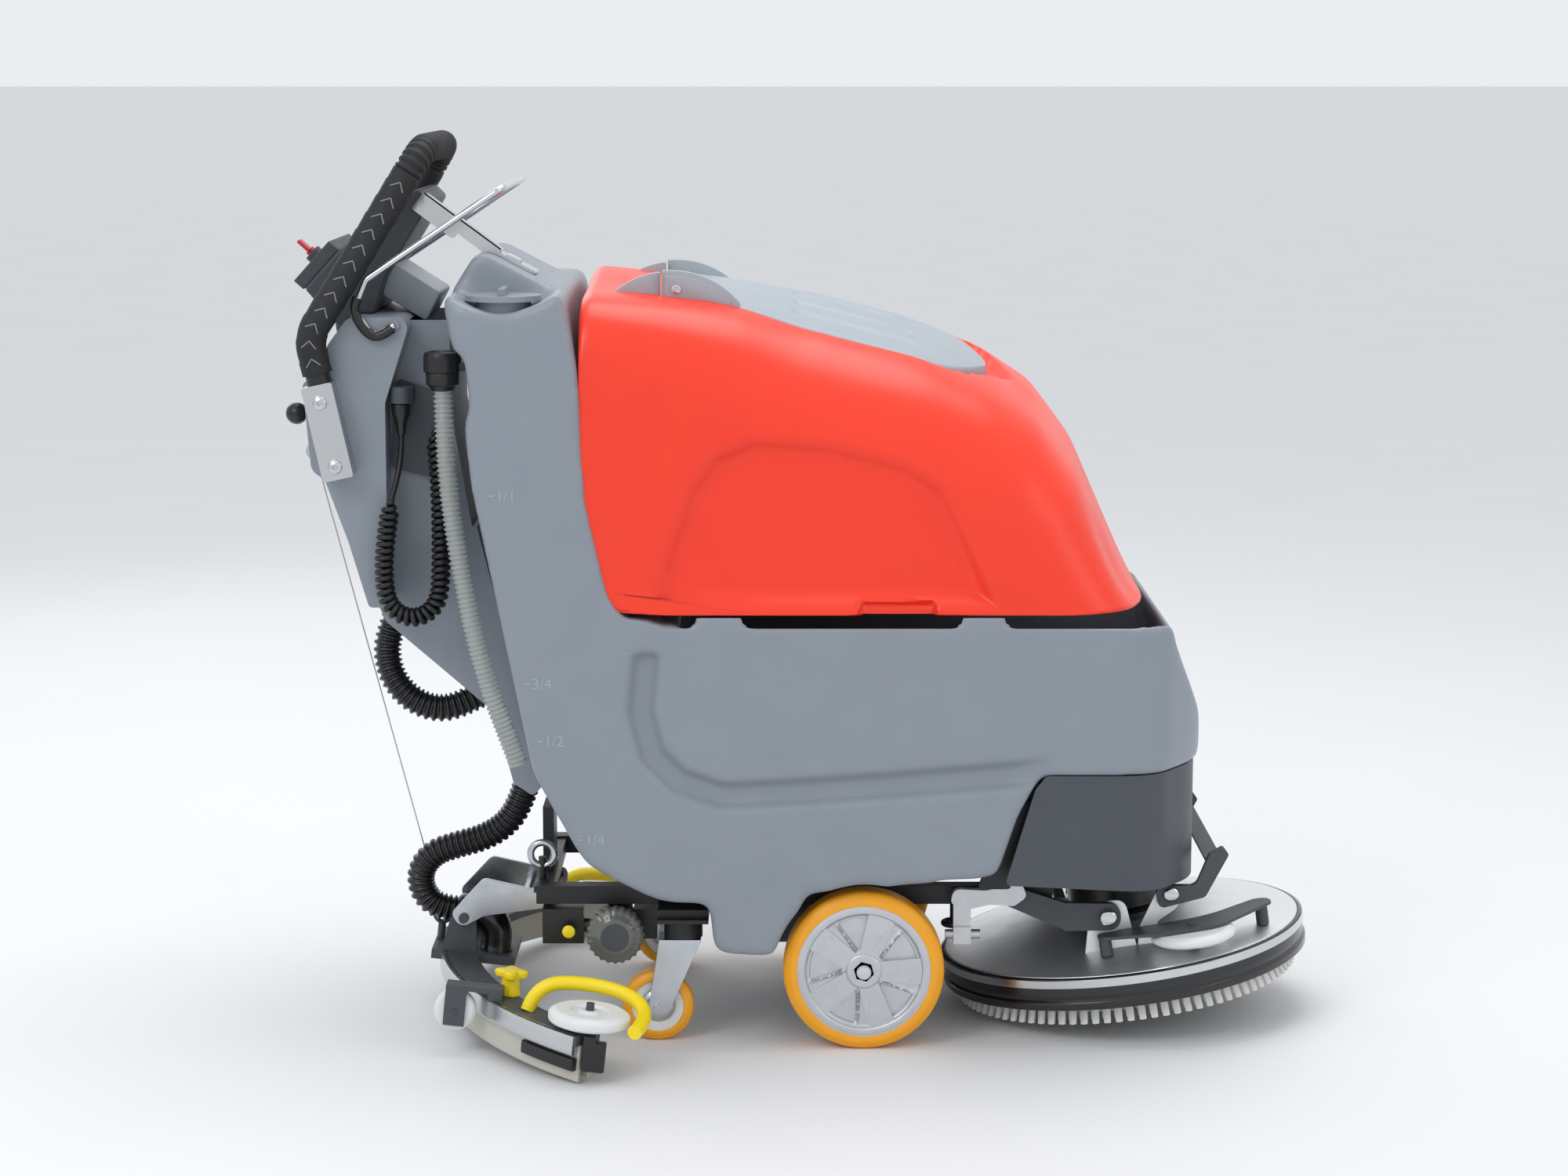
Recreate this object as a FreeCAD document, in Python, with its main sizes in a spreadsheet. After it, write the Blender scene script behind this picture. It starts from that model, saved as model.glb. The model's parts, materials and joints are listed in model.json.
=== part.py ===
"""Walk-behind floor scrubber, modelled in millimetres.

+X points forward, towards the brush deck, +Z points up and the floor is z = 0.
The machine's right-hand side lies at -Y.
"""
import FreeCAD, Part
import math
import os
import re

V = FreeCAD.Vector
Turn = FreeCAD.Rotation
Place = FreeCAD.Placement

# Driving dimensions. Each alias is the name that formulas and code use.
DIMENSIONS = (
    # hull: the grey solution tank
    ("hull_half_width", 250),
    ("hull_wall", 8),
    ("hull_floor", 194),
    ("rim_height", 529),
    ("shelf_height", 942),
    ("tower_top", 989),
    ("tower_half_width", 145),
    ("tower_rear", -432),
    ("nose_front", 511),
    ("nose_height", 350),
    ("bay_rear", -140),
    ("bay_floor", 220),
    ("lug_length", 58),
    ("filler_x", -358),
    ("filler_y", 198),
    ("neck_radius", 34),
    ("scoop_radius", 111),
    ("scoop_depth", 24),
    # recovery tank and lid
    ("tank_gap", 0.4),
    ("tank_half_width", 243),
    ("tank_base", 549),
    ("tank_wall", 7),
    ("lid_half_width", 122),
    ("lid_thickness", 12),
    ("lid_gap", 1),
    ("ear_radius", 112),
    ("ear_thickness", 16),
    ("ear_x", -158),
    ("ear_z", 849),
    ("pivot_radius", 5),
    ("pivot_x", -151),
    ("pivot_z", 937),
    # drive wheels
    ("wheel_radius", 100),
    ("wheel_width", 50),
    ("wheel_x", 81),
    ("wheel_face", 235),
    ("tyre_depth", 17),
    ("arch_gap", 12),
    ("shaft_radius", 10),
    ("gearbox_radius", 42),
    ("gearbox_half_width", 112),
    ("spoke_count", 5),
    # casters
    ("caster_radius", 45),
    ("caster_width", 30),
    ("caster_track", 180),
    ("caster_x", -144),
    ("caster_trail", 32),
    ("kingpin_radius", 6),
    ("caster_axle_radius", 5),
    # frame
    ("rail_half_gap", 128),
    ("rail_width", 24),
    ("rail_low", 166),
    ("rail_high", 192),
    ("rail_rear", -330),
    ("rail_front", 320),
    ("pivot_bar_radius", 8),
    # rear console and handle
    ("console_half_width", 164),
    ("web_half_width", 112),
    ("console_wall", 5),
    ("tube_radius", 15),
    ("grip_radius", 19),
    ("bar_grip_radius", 17),
    ("bar_grip_length", 186),
    ("leg_y_low", 184),
    ("leg_y_high", 142),
    ("bar_x", -460),
    ("bar_height", 1109),
    ("panel_half_width", 104),
    # bail, lever and cable
    ("bail_radius", 4),
    ("bail_half_width", 172),
    ("ball_radius", 14),
    ("lever_radius", 5),
    ("cable_radius", 1),
    # squeegee
    ("squeegee_radius", 459),
    ("squeegee_centre_x", 9),
    ("squeegee_half_angle", 54),
    ("squeegee_tilt", 6),
    ("squeegee_lift", 2),
    ("squeegee_tip_x", -256),
    ("blade_height", 46),
    ("blade_thickness", 4),
    ("beam_width", 46),
    ("disc_radius", 50),
    ("disc_thickness", 20),
    ("knob_radius", 21),
    ("rear_roller_radius", 26),
    # brush deck
    ("deck_x", 430),
    ("deck_lift", 34),
    ("deck_tilt", 8),
    ("deck_radius", 237),
    ("skirt_low", 24),
    ("skirt_high", 62),
    ("skirt_wall", 6),
    ("brush_radius", 218),
    ("bristle_length", 42),
    ("motor_radius", 62),
    # hoses and leads
    ("suction_diameter", 38),
    ("drain_diameter", 25),
    ("coil_diameter", 25),
    ("lead_diameter", 7),
)

doc = FreeCAD.newDocument("floor_scrubber")
sheet = doc.addObject("Spreadsheet::Sheet", "Dimensions")
for row, (alias, value) in enumerate(DIMENSIONS, start=1):
    sheet.set(f"A{row}", alias)
    sheet.set(f"B{row}", str(value))
    sheet.setAlias(f"B{row}", alias)
doc.recompute()

nodes = []
SIDES = (("right", -1), ("left", 1))
ALIAS_WORD = re.compile(r"\b[a-z]+(?:_[a-z]+)+\b")


def size(alias):
    """One driving dimension as a number."""
    return float(sheet.get(alias))


def bind(item, prop, formula):
    """Tie a property to a formula in the sheet's aliases."""
    text = ALIAS_WORD.sub(lambda word: "Dimensions." + word.group(), str(formula))
    item.setExpression(prop, text)


def put(item, corner, turn=None):
    """Give an object its place, each coordinate a number or a formula, and its turn."""
    fixed = [0 if isinstance(value, str) else value for value in corner]
    item.Placement = Place(V(*fixed), turn or Turn())
    for axis, value in zip("xyz", corner):
        if isinstance(value, str):
            bind(item, f"Placement.Base.{axis}", value)
    return item


def node(name, item):
    """Mark an object as a finished sub-part."""
    item.Label = name
    nodes.append(item)
    return item


def box(name, sizes, corner, turn=None):
    item = doc.addObject("Part::Box", name)
    for prop, formula in zip(("Length", "Width", "Height"), sizes):
        bind(item, prop, formula)
    return put(item, corner, turn)


def rod(name, radius, length, start, along=(0, 0, 1)):
    item = doc.addObject("Part::Cylinder", name)
    bind(item, "Radius", radius)
    bind(item, "Height", length)
    return put(item, start, Turn(V(0, 0, 1), V(*along)))


def ball(name, radius, centre):
    item = doc.addObject("Part::Sphere", name)
    bind(item, "Radius", radius)
    return put(item, centre)


def fuse(name, items):
    item = doc.addObject("Part::MultiFuse", name)
    item.Shapes = items
    return item


def cut(name, base, tools):
    item = doc.addObject("Part::Cut", name)
    item.Base = base
    item.Tool = tools[0] if len(tools) == 1 else fuse(name + "_tools", tools)
    return item


def common(name, items):
    item = doc.addObject("Part::MultiCommon", name)
    item.Shapes = items
    return item


def group(name, items):
    item = doc.addObject("Part::Compound", name)
    item.Links = items
    return item


def feature(name, shape, placement=None):
    item = doc.addObject("Part::Feature", name)
    item.Shape = shape
    if placement:
        item.Placement = placement
    return item


def outline(corners):
    """Closed outline through (across, up, radius) corners, each rounded by a tangent arc."""
    count = len(corners)
    points = [V(corner[0], corner[1], 0) for corner in corners]
    bends = []
    for index, corner in enumerate(corners):
        here = points[index]
        before = points[index - 1] - here
        after = points[(index + 1) % count] - here
        radius = corner[2] if len(corner) > 2 else 0
        if radius <= 0:
            bends.append((here, None, here))
            continue
        half = before.getAngle(after) / 2
        reach = min(radius / math.tan(half), 0.48 * before.Length, 0.48 * after.Length)
        radius = reach * math.tan(half)
        before.normalize()
        after.normalize()
        inward = (before + after).normalize()
        middle = here + inward * (radius / math.sin(half) - radius)
        bends.append((here + before * reach, middle, here + after * reach))
    edges = []
    for index, (enter, middle, leave) in enumerate(bends):
        if middle is not None:
            edges.append(Part.Arc(enter, middle, leave))
        following = bends[(index + 1) % count][0]
        if (following - leave).Length > 1e-6:
            edges.append(Part.LineSegment(leave, following))
    return edges


PLANES = {"side": "XZ_Plane", "plan": "XY_Plane"}


def sketch_on(body, name, view, edges):
    plane = next(item for item in body.Origin.OriginFeatures if item.Role == PLANES[view])
    sketch = body.newObject("Sketcher::SketchObject", name)
    sketch.AttachmentSupport = [(plane, "")]
    sketch.MapMode = "FlatFace"
    sketch.addGeometry(edges)
    return sketch


def pad(name, view, corners, low, high):
    """Body padded from an outline. Low and high are formulas along the view's normal."""
    body = doc.addObject("PartDesign::Body", name)
    sketch = sketch_on(body, name + "_sketch", view, outline(corners))
    start = f"-({high})" if view == "side" else low
    bind(sketch, "AttachmentOffset.Base.z", start)
    block = body.newObject("PartDesign::Pad", name + "_pad")
    block.Profile = sketch
    bind(block, "Length", f"({high}) - ({low})")
    sketch.Visibility = False
    return body


def turned(name, corners, centre=(0, 0, 0), along=(0, 0, 1)):
    """Body turned on a lathe from (radius, height) corners, its axis laid along a direction."""
    body = doc.addObject("PartDesign::Body", name)
    sketch = sketch_on(body, name + "_sketch", "side", outline(corners))
    lathe = body.newObject("PartDesign::Revolution", name + "_turn")
    lathe.Profile = sketch
    lathe.ReferenceAxis = (sketch, ["V_Axis"])
    lathe.Angle = 360
    put(body, centre, Turn(V(0, 0, 1), V(*along)))
    return body


def path_wire(points, bend=None):
    """Straight runs joined by tangent arcs. Without a bend, each arc is as large as its runs allow."""
    points = [V(*point) for point in points]
    edges = []
    radii = []
    leave = points[0]
    for before, here, after in zip(points, points[1:], points[2:]):
        back = before - here
        ahead = after - here
        turn = math.pi - back.getAngle(ahead)
        shorter = min(back.Length, ahead.Length)
        reach = bend * math.tan(turn / 2) if bend else 0.45 * shorter
        reach = min(reach, 0.49 * shorter)
        radius = reach / math.tan(turn / 2)
        radii.append(radius)
        back.normalize()
        ahead.normalize()
        enter = here + back * reach
        middle = here + (back + ahead).normalize() * (radius / math.cos(turn / 2) - radius)
        edges.append(Part.LineSegment(leave, enter).toShape())
        leave = here + ahead * reach
        edges.append(Part.Arc(enter, middle, leave).toShape())
    edges.append(Part.LineSegment(leave, points[-1]).toShape())
    return Part.Wire(edges), radii


def pipe(points, radius, bend=None, label=None):
    """Round bar along a path. A label prints the smallest bend and checks the volume."""
    wire, radii = path_wire(points, bend)
    start = V(*points[0])
    circle = Part.Wire(Part.Circle(start, V(*points[1]) - start, radius).toShape())
    shape = wire.makePipeShell([circle], True, True)
    if label:
        expected = math.pi * radius * radius * wire.Length
        print(f"{label}: length {wire.Length:.0f}, smallest radius {min(radii):.0f},"
              f" radii {[round(value) for value in radii]}, volume ratio {shape.Volume / expected:.4f}")
    return shape


def mirrored_points(points):
    """A path and its mirror image across the machine's middle plane, joined end to end."""
    return list(points) + [(x, -y, z) for x, y, z in reversed(points)]


# ---------------------------------------------------------------- hull
def solution_tank():
    """Moulded hull: water tower at the rear, battery bay open at the top in front of it."""
    rim = size("rim_height")
    shelf = size("shelf_height")
    floor = size("hull_floor")
    rear = size("tower_rear")
    nose = size("nose_front")
    brow = size("nose_height")
    wall = size("hull_wall")
    side = pad("hull_side", "side", [
        (rear, shelf, 14), (-284, shelf, 14), (-266, 842), (-258, 690, 60), (-226, rim + 20, 60), (-165, rim, 20),
        (nose - 56, rim, 18), (nose, brow + 42, 60), (nose - 1, brow, 10), (298, brow, 18),
        (270, 300, 40), (244, floor + 28, 14), (-110, floor - 5), (-170, floor - 4, 60), (-262, 236, 80),
        (-326, 352, 60), (-397, 706, 30), (-405, 786, 4), (-397, 796, 4), (-403, 865, 4), (-417, 868, 4)],
        "-hull_half_width", "hull_half_width")
    plan = pad("hull_plan", "plan", hull_plan(0), 0, "tower_top")
    shell = common("hull_shell", [side, plan])
    tower = pad("tower_head", "side", [
        (rear + 4, shelf - 8), (-393, size("tower_top"), 16), (-285, shelf - 10, 10), (-300, shelf - 40),
        (rear + 10, shelf - 40)], "-tower_half_width", "tower_half_width")
    skirts = []
    for name, sign in SIDES:
        low = "-hull_half_width" if sign < 0 else "hull_half_width - 32"
        high = "-hull_half_width + 32" if sign < 0 else "hull_half_width"
        skirts.append(pad(f"hull_skirt_{name}", "side", [
            (-112, floor + 4), (-104, 126, 14), (-30, 121, 14), (-12, 152), (10, floor + 4)], low, high))
    lugs = [box(f"lug_{name}_{place}", ("lug_length", 22, "tank_base - rim_height - tank_gap + 6"),
                (place, "-hull_half_width + 1" if sign < 0 else "hull_half_width - 23", "rim_height - 6"))
            for name, sign in SIDES for place in (-126, 196)]
    bay = pad("battery_bay", "side", [
        (size("bay_rear"), size("bay_floor"), 24), (226, size("bay_floor"), 24), (262, brow + wall, 20),
        (nose - 26, brow + wall, 14), (nose - 66, rim + 20), (size("bay_rear") - 6, rim + 20)],
        "-hull_half_width + hull_wall", "hull_half_width - hull_wall")
    bay_plan = pad("bay_plan", "plan", hull_plan(wall), 0, "tower_top")
    bay_space = common("bay_space", [bay, bay_plan])
    water = pad("water_space", "side", [
        (rear + 10, shelf - 52), (-292, shelf - 46), (-274, 842), (-266, 688, 60), (-228, rim + 6, 50),
        (size("bay_rear") - 28, rim - 60, 20), (size("bay_rear") - 16, floor + wall + 10, 20), (-196, floor + 14, 40),
        (-254, 250, 60), (-316, 356, 50), (-388, 706, 30), (-394, 786), (-386, 800), (-392, 862)],
        "-hull_half_width + hull_wall", "hull_half_width - hull_wall")
    arches = [rod(f"arch_{name}", "wheel_radius + arch_gap", 90,
                  ("wheel_x", "-260" if sign < 0 else "170", "wheel_radius"), (0, 1, 0)) for name, sign in SIDES]
    scoop = rod("filler_scoop", "scoop_radius", 110,
                ("filler_x", "-filler_y - 58", "shelf_height + scoop_radius - scoop_depth"), (0, 1, 0))
    neck = rod("filler_neck", "neck_radius", 70, ("filler_x", "-filler_y", "shelf_height - 64"))
    hull = fuse("hull_solid", [shell, tower] + skirts + lugs)
    return node("solution_tank", cut("hull_cut", hull, [bay_space, water, scoop, neck] + arches))


def hull_plan(inset):
    """Plan outline of the hull, its nose drawn as one shallow curve, moved inwards by an inset."""
    half = size("hull_half_width") - inset
    nose = size("nose_front") - inset
    rear = size("tower_rear") + inset
    return [(rear, -half, 30), (nose - 70, -half, 70), (nose - 10, -half * 0.62, 150), (nose, -half * 0.2, 300),
            (nose, half * 0.2, 300), (nose - 10, half * 0.62, 150), (nose - 70, half, 70), (rear, half, 30)]


def filler_cap():
    """Plug in the filler neck, with a flange and a grip rib."""
    plug = rod("cap_plug", "neck_radius - 0.5", 34, ("filler_x", "-filler_y", "shelf_height - 45"))
    flange = rod("cap_flange", "neck_radius + 12", 7, ("filler_x", "-filler_y", "shelf_height - 13.5"))
    rib = box("cap_rib", (8, "2 * neck_radius", 16), ("filler_x - 4", "-filler_y - neck_radius", "shelf_height - 14"))
    node("filler_cap", fuse("cap_solid", [plug, flange, rib]))


def front_apron():
    """Thin dark cover round the deck lift, hung under the hull's brow."""
    brow = size("nose_height")
    side = pad("apron_side", "side", [
        (254, 212, 6), (290, 332, 12), (304, brow - 0.3, 8), (520, brow - 0.3), (508, 200, 6)],
        "-hull_half_width + 5", "hull_half_width - 5")
    skin = common("apron_skin", [side, pad("apron_outer", "plan", hull_plan(6), 190, "nose_height")])
    inner = pad("apron_inner", "plan", hull_plan(10), 150, "nose_height + 20")
    hollow = cut("apron_hollow", skin, [inner])
    node("front_apron", hollow)


# ---------------------------------------------------------------- recovery tank and lid
TANK_TOP = ((-276, 952), (-66, 937), (150, 893), (292, 822), (360, 736))


def recovery_tank():
    """Moulded tank that tips sideways off the hull, hollow, with a mouth under its lid."""
    base = size("tank_base")
    wall = size("tank_wall")
    front = 446

    def profile(inset):
        radii = (14, 260, 240, 120, 60)
        top = [(x + (inset if index == 0 else -inset * 0.4), z - inset, radius)
               for index, ((x, z), radius) in enumerate(zip(TANK_TOP, radii))]
        return top + [(front - inset, base + inset, 16), (-176, base + inset, 44), (-226 + inset, 596, 44),
                      (-245 + inset, 700, 30)]

    def plan(inset):
        half = size("tank_half_width") - inset
        return [(-290, -half), (front - 72, -half, 110), (front - inset, -half * 0.5, 160),
                (front - inset, half * 0.5, 160), (front - 72, half, 110), (-290, half)]

    outer = common("tank_outer", [
        pad("tank_side", "side", profile(0), "-tank_half_width", "tank_half_width"),
        pad("tank_plan", "plan", plan(0), 0, 1000)])
    inner = common("tank_inner", [
        pad("tank_void_side", "side", profile(wall), "-tank_half_width + tank_wall", "tank_half_width - tank_wall"),
        pad("tank_void_plan", "plan", plan(wall), 0, 930)])
    gap = size("lid_gap")
    liner = pad("lid_liner", "side", lid_outline(gap + 6), "-lid_half_width - lid_gap - 6",
                "lid_half_width + lid_gap + 6")
    channel = pad("lid_channel", "side", lid_outline(gap, 40), "-lid_half_width - lid_gap",
                  "lid_half_width + lid_gap")
    cups = []
    pockets = []
    for name, sign in SIDES:
        low = ear_side(sign, "lid_half_width - ear_thickness / 2 - 5", "lid_half_width + 6")
        cups.append(rod(f"ear_cup_{name}", "pivot_z - 900", "ear_thickness / 2 + 11", ("pivot_x", low, "pivot_z"),
                        (0, 1, 0)))
        inside = ear_side(sign, "lid_half_width - ear_thickness / 2 + 0.2", "lid_half_width + 1.4")
        pockets.append(rod(f"ear_pocket_{name}", "pivot_z - 906", "ear_thickness / 2 + 1.2",
                           ("pivot_x", inside, "pivot_z"), (0, 1, 0)))
    mouth = box("tank_mouth", (230, 150, 120), (-110, -75, 820))
    finger = [pad(f"finger_notch_{name}", "side", [(72, base - 1), (80, base + 14, 4), (160, base + 14, 4),
                                                     (168, base - 1)],
                  "-tank_half_width - 1" if sign < 0 else "tank_half_width - 20",
                  "-tank_half_width + 20" if sign < 0 else "tank_half_width + 1") for name, sign in SIDES]
    lined = common("tank_lined", [fuse("tank_liners", [liner] + cups), outer_copy(profile, plan)])
    hollow = cut("tank_hollow", fuse("tank_walled", [cut("tank_shell", outer, [inner]), lined]),
                 [channel, mouth] + pockets)
    floor = pad("tank_floor", "side", [(72 - 30, base + 1), (72 - 30, base + 30), (168 + 30, base + 30),
                                      (168 + 30, base + 1)], "-tank_half_width + 1", "tank_half_width - 1")
    body = cut("tank_notched", fuse("tank_floored", [hollow, floor]), finger)
    fins = [ear(f"rear_ear_{name}", sign, rear=True) for name, sign in SIDES]
    node("recovery_tank", fuse("tank_solid", [body] + fins))


def outer_copy(profile, plan):
    """The tank's outside once more, to trim what lines its top."""
    return common("tank_trim", [
        pad("tank_trim_side", "side", profile(0), "-tank_half_width", "tank_half_width"),
        pad("tank_trim_plan", "plan", plan(0), 0, 1000)])


def lid_outline(grow, above=0):
    """Side outline of the lid, which follows the tank's top from the hinge line to its nose."""
    thick = size("lid_thickness")
    rear = size("pivot_x") + 1 - max(grow, 0) * 4
    drop = 10
    crown = [(rear, 943 - drop), (-66, 937 - drop), (150, 893 - drop), (240 + grow, 848 - drop)]
    top = [(x, z + above, 200 if 0 < index < 3 else 0) for index, (x, z) in enumerate(crown)]
    under = [(x, z - thick - grow, 200 if 0 < index < 3 else 0) for index, (x, z) in enumerate(crown)]
    return top + under[::-1]


def ear_side(sign, low, high):
    """Lower end, as a formula, of a slice between two distances from the middle plane."""
    return f"-({high})" if sign < 0 else low


def ear(name, sign, rear):
    """Half of a hinge ear: a thin half-round fin. The lid's half runs outside the tank's half."""
    half = "ear_thickness / 2 - 0.5"
    high = "lid_half_width - ear_thickness / 2 - 0.5" if rear else "lid_half_width"
    start = ear_side(sign, f"{high} - ({half})", high)
    disc = rod(name + "_disc", "ear_radius", half, ("ear_x", start, "ear_z"), (0, 1, 0))
    length = "ear_radius + 14" if rear else "ear_radius + 20"
    corner = "ear_x - ear_radius - 27" if rear else "ear_x - 12.5"
    foot = "pivot_z - 20" if rear else "pivot_z - 16"
    keep = box(name + "_keep", (length, 60, 60), (corner, f"({start}) - 20", foot))
    return common(name, [disc, keep])


def tank_lid():
    """Grey lid with the front halves of the ears and the pivot screws."""
    slab = pad("lid_slab", "side", lid_outline(0), "-lid_half_width", "lid_half_width")
    rear = size("pivot_x") + 1
    half = size("lid_half_width")
    nose = pad("lid_plan", "plan", [
        (rear, -half), (200, -half, 60), (238, -60, 60), (238, 60, 60), (200, half, 60), (rear, half)], 700, 1000)
    plate = common("lid_plate", [slab, nose])
    fins = [ear(f"front_ear_{name}", sign, rear=False) for name, sign in SIDES]
    screws = [rod(f"pivot_screw_{name}", "pivot_radius", "ear_thickness / 2 + 0.5",
                  ("pivot_x", ear_side(sign, "lid_half_width - ear_thickness / 2 + 0.5", "lid_half_width + 1"),
                   "pivot_z"), (0, 1, 0)) for name, sign in SIDES]
    node("tank_lid", fuse("lid_solid", [plate] + fins + screws))


# ---------------------------------------------------------------- wheels and frame
ARM_PIVOT = (-316, 150)
LINK_PIVOT = (272, 182)


def drive_wheels():
    """Bonded tyre on a cast five-spoke rim, with the half shaft and its bolt."""
    radius = size("wheel_radius")
    width = size("wheel_width")
    depth = size("tyre_depth")
    inner = radius - depth
    for name, sign in SIDES:
        face = (size("wheel_x"), sign * size("wheel_face"), radius)
        along = (0, -sign, 0)
        tyre = turned(f"tyre_{name}_turned", [
            (inner, 0, 2), (inner + 5, 0, 2), (radius, 6, 9), (radius, width - 6, 9), (inner + 5, width, 2),
            (inner, width, 2)], face, along)
        node(f"drive_tyre_{name}", tyre)
        web = 11
        rim = turned(f"rim_{name}_turned", [
            (0, 6), (22, 6, 3), (25, web, 3), (inner - 14, web, 5), (inner - 8, 2, 2), (inner, 2), (inner, width - 2),
            (inner - 8, width - 2), (inner - 8, web + 9, 4), (26, web + 9, 4), (26, width - 4), (0, width - 4)],
            face, along)
        sketch = sketch_on(rim, f"spoke_{name}", "plan", outline(
            [(16, -12), (inner - 10, -17), (inner - 10, 17), (16, 12)]))
        sketch.AttachmentOffset = Place(V(0, 0, 4), Turn())
        spoke = rim.newObject("PartDesign::Pad", f"spoke_pad_{name}")
        spoke.Profile = sketch
        spoke.Length = web - 2
        spokes = rim.newObject("PartDesign::PolarPattern", f"spokes_{name}")
        spokes.Originals = [spoke]
        spokes.Axis = (sketch, ["N_Axis"])
        spokes.Angle = 360
        bind(spokes, "Occurrences", "spoke_count")
        rim.Tip = spokes
        bolt = rod(f"wheel_bolt_{name}", 9, 9, (face[0], face[1] + sign * 2, face[2]), along)
        reach = "wheel_face - 82"
        start = ("wheel_x", "-wheel_face + 20" if sign < 0 else "62", "wheel_radius")
        shaft = rod(f"half_shaft_{name}", "shaft_radius", reach, start, (0, 1, 0))
        node(f"drive_rim_{name}", fuse(f"rim_solid_{name}", [rim, bolt, shaft]))


def transaxle():
    """Gearbox across the middle, bored for both half shafts, hung from the rails by saddles."""
    case = rod("gearbox_case", "gearbox_radius", "2 * gearbox_half_width",
               ("wheel_x", "-gearbox_half_width", "wheel_radius"), (0, 1, 0))
    flanges = [rod(f"gearbox_flange_{name}", "gearbox_radius + 7", 10,
                   ("wheel_x", f"{sign} * (gearbox_half_width - 25) - 5", "wheel_radius"), (0, 1, 0))
               for name, sign in SIDES]
    motor = rod("drive_motor", "gearbox_radius - 4", 150, ("wheel_x - 165", 0, "wheel_radius + 16"), (1, 0, 0))
    saddles = [box(f"saddle_{name}", (60, 26, "rail_low - wheel_radius"),
                   ("wheel_x - 30", "-rail_half_gap - 6" if sign < 0 else "rail_half_gap - 20", "wheel_radius"))
               for name, sign in SIDES]
    bores = [rod(f"gearbox_bore_{name}", "shaft_radius + 0.06", 120,
                 ("wheel_x", "-gearbox_half_width - 60" if sign < 0 else "60", "wheel_radius"), (0, 1, 0))
             for name, sign in SIDES]
    node("transaxle", cut("transaxle_cut", fuse("transaxle_solid", [case, motor] + flanges + saddles), bores))


def casters():
    """Swivel casters: a fork that turns on its kingpin and a wheel that trails behind it."""
    radius = size("caster_radius")
    for name, sign in SIDES:
        track = f"{sign} * caster_track"
        wheel_x = "caster_x - caster_trail"
        crown = box(f"fork_crown_{name}", (52, 42, 4), ("caster_x - 30", f"({track}) - 21", 128))
        legs = [pad(f"fork_leg_{name}_{place}", "side", [
            (size("caster_x") - 30, 130), (size("caster_x") - size("caster_trail") - 13, 36, 12),
            (size("caster_x") - size("caster_trail") + 13, 36, 12), (size("caster_x") + 22, 130)],
            f"({track}) + {low}", f"({track}) + {low + 3}") for place, low in (("outer", -21), ("inner", 18))]
        kingpin = rod(f"kingpin_{name}", "kingpin_radius", 22, ("caster_x", track, 128))
        axle = rod(f"caster_axle_{name}", "caster_axle_radius", 48, (wheel_x, f"({track}) - 24", "caster_radius"),
                   (0, 1, 0))
        node(f"caster_fork_{name}", fuse(f"fork_solid_{name}", [crown, kingpin, axle] + legs))
        wheel = turned(f"caster_wheel_{name}_turned", [
            (size("caster_axle_radius") + 0.06, 0), (16, 0), (18, 4), (radius - 12, 4), (radius - 9, 1),
            (radius, 7, 6), (radius, 23, 6), (radius - 9, 29), (radius - 12, 26), (18, 26), (16, 30),
            (size("caster_axle_radius") + 0.06, 30)], (0, 0, 0), (0, 1, 0))
        put(wheel, (wheel_x, f"({track}) - 15", "caster_radius"), Turn(V(0, 0, 1), V(0, 1, 0)))
        node(f"caster_wheel_{name}", wheel)


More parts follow.
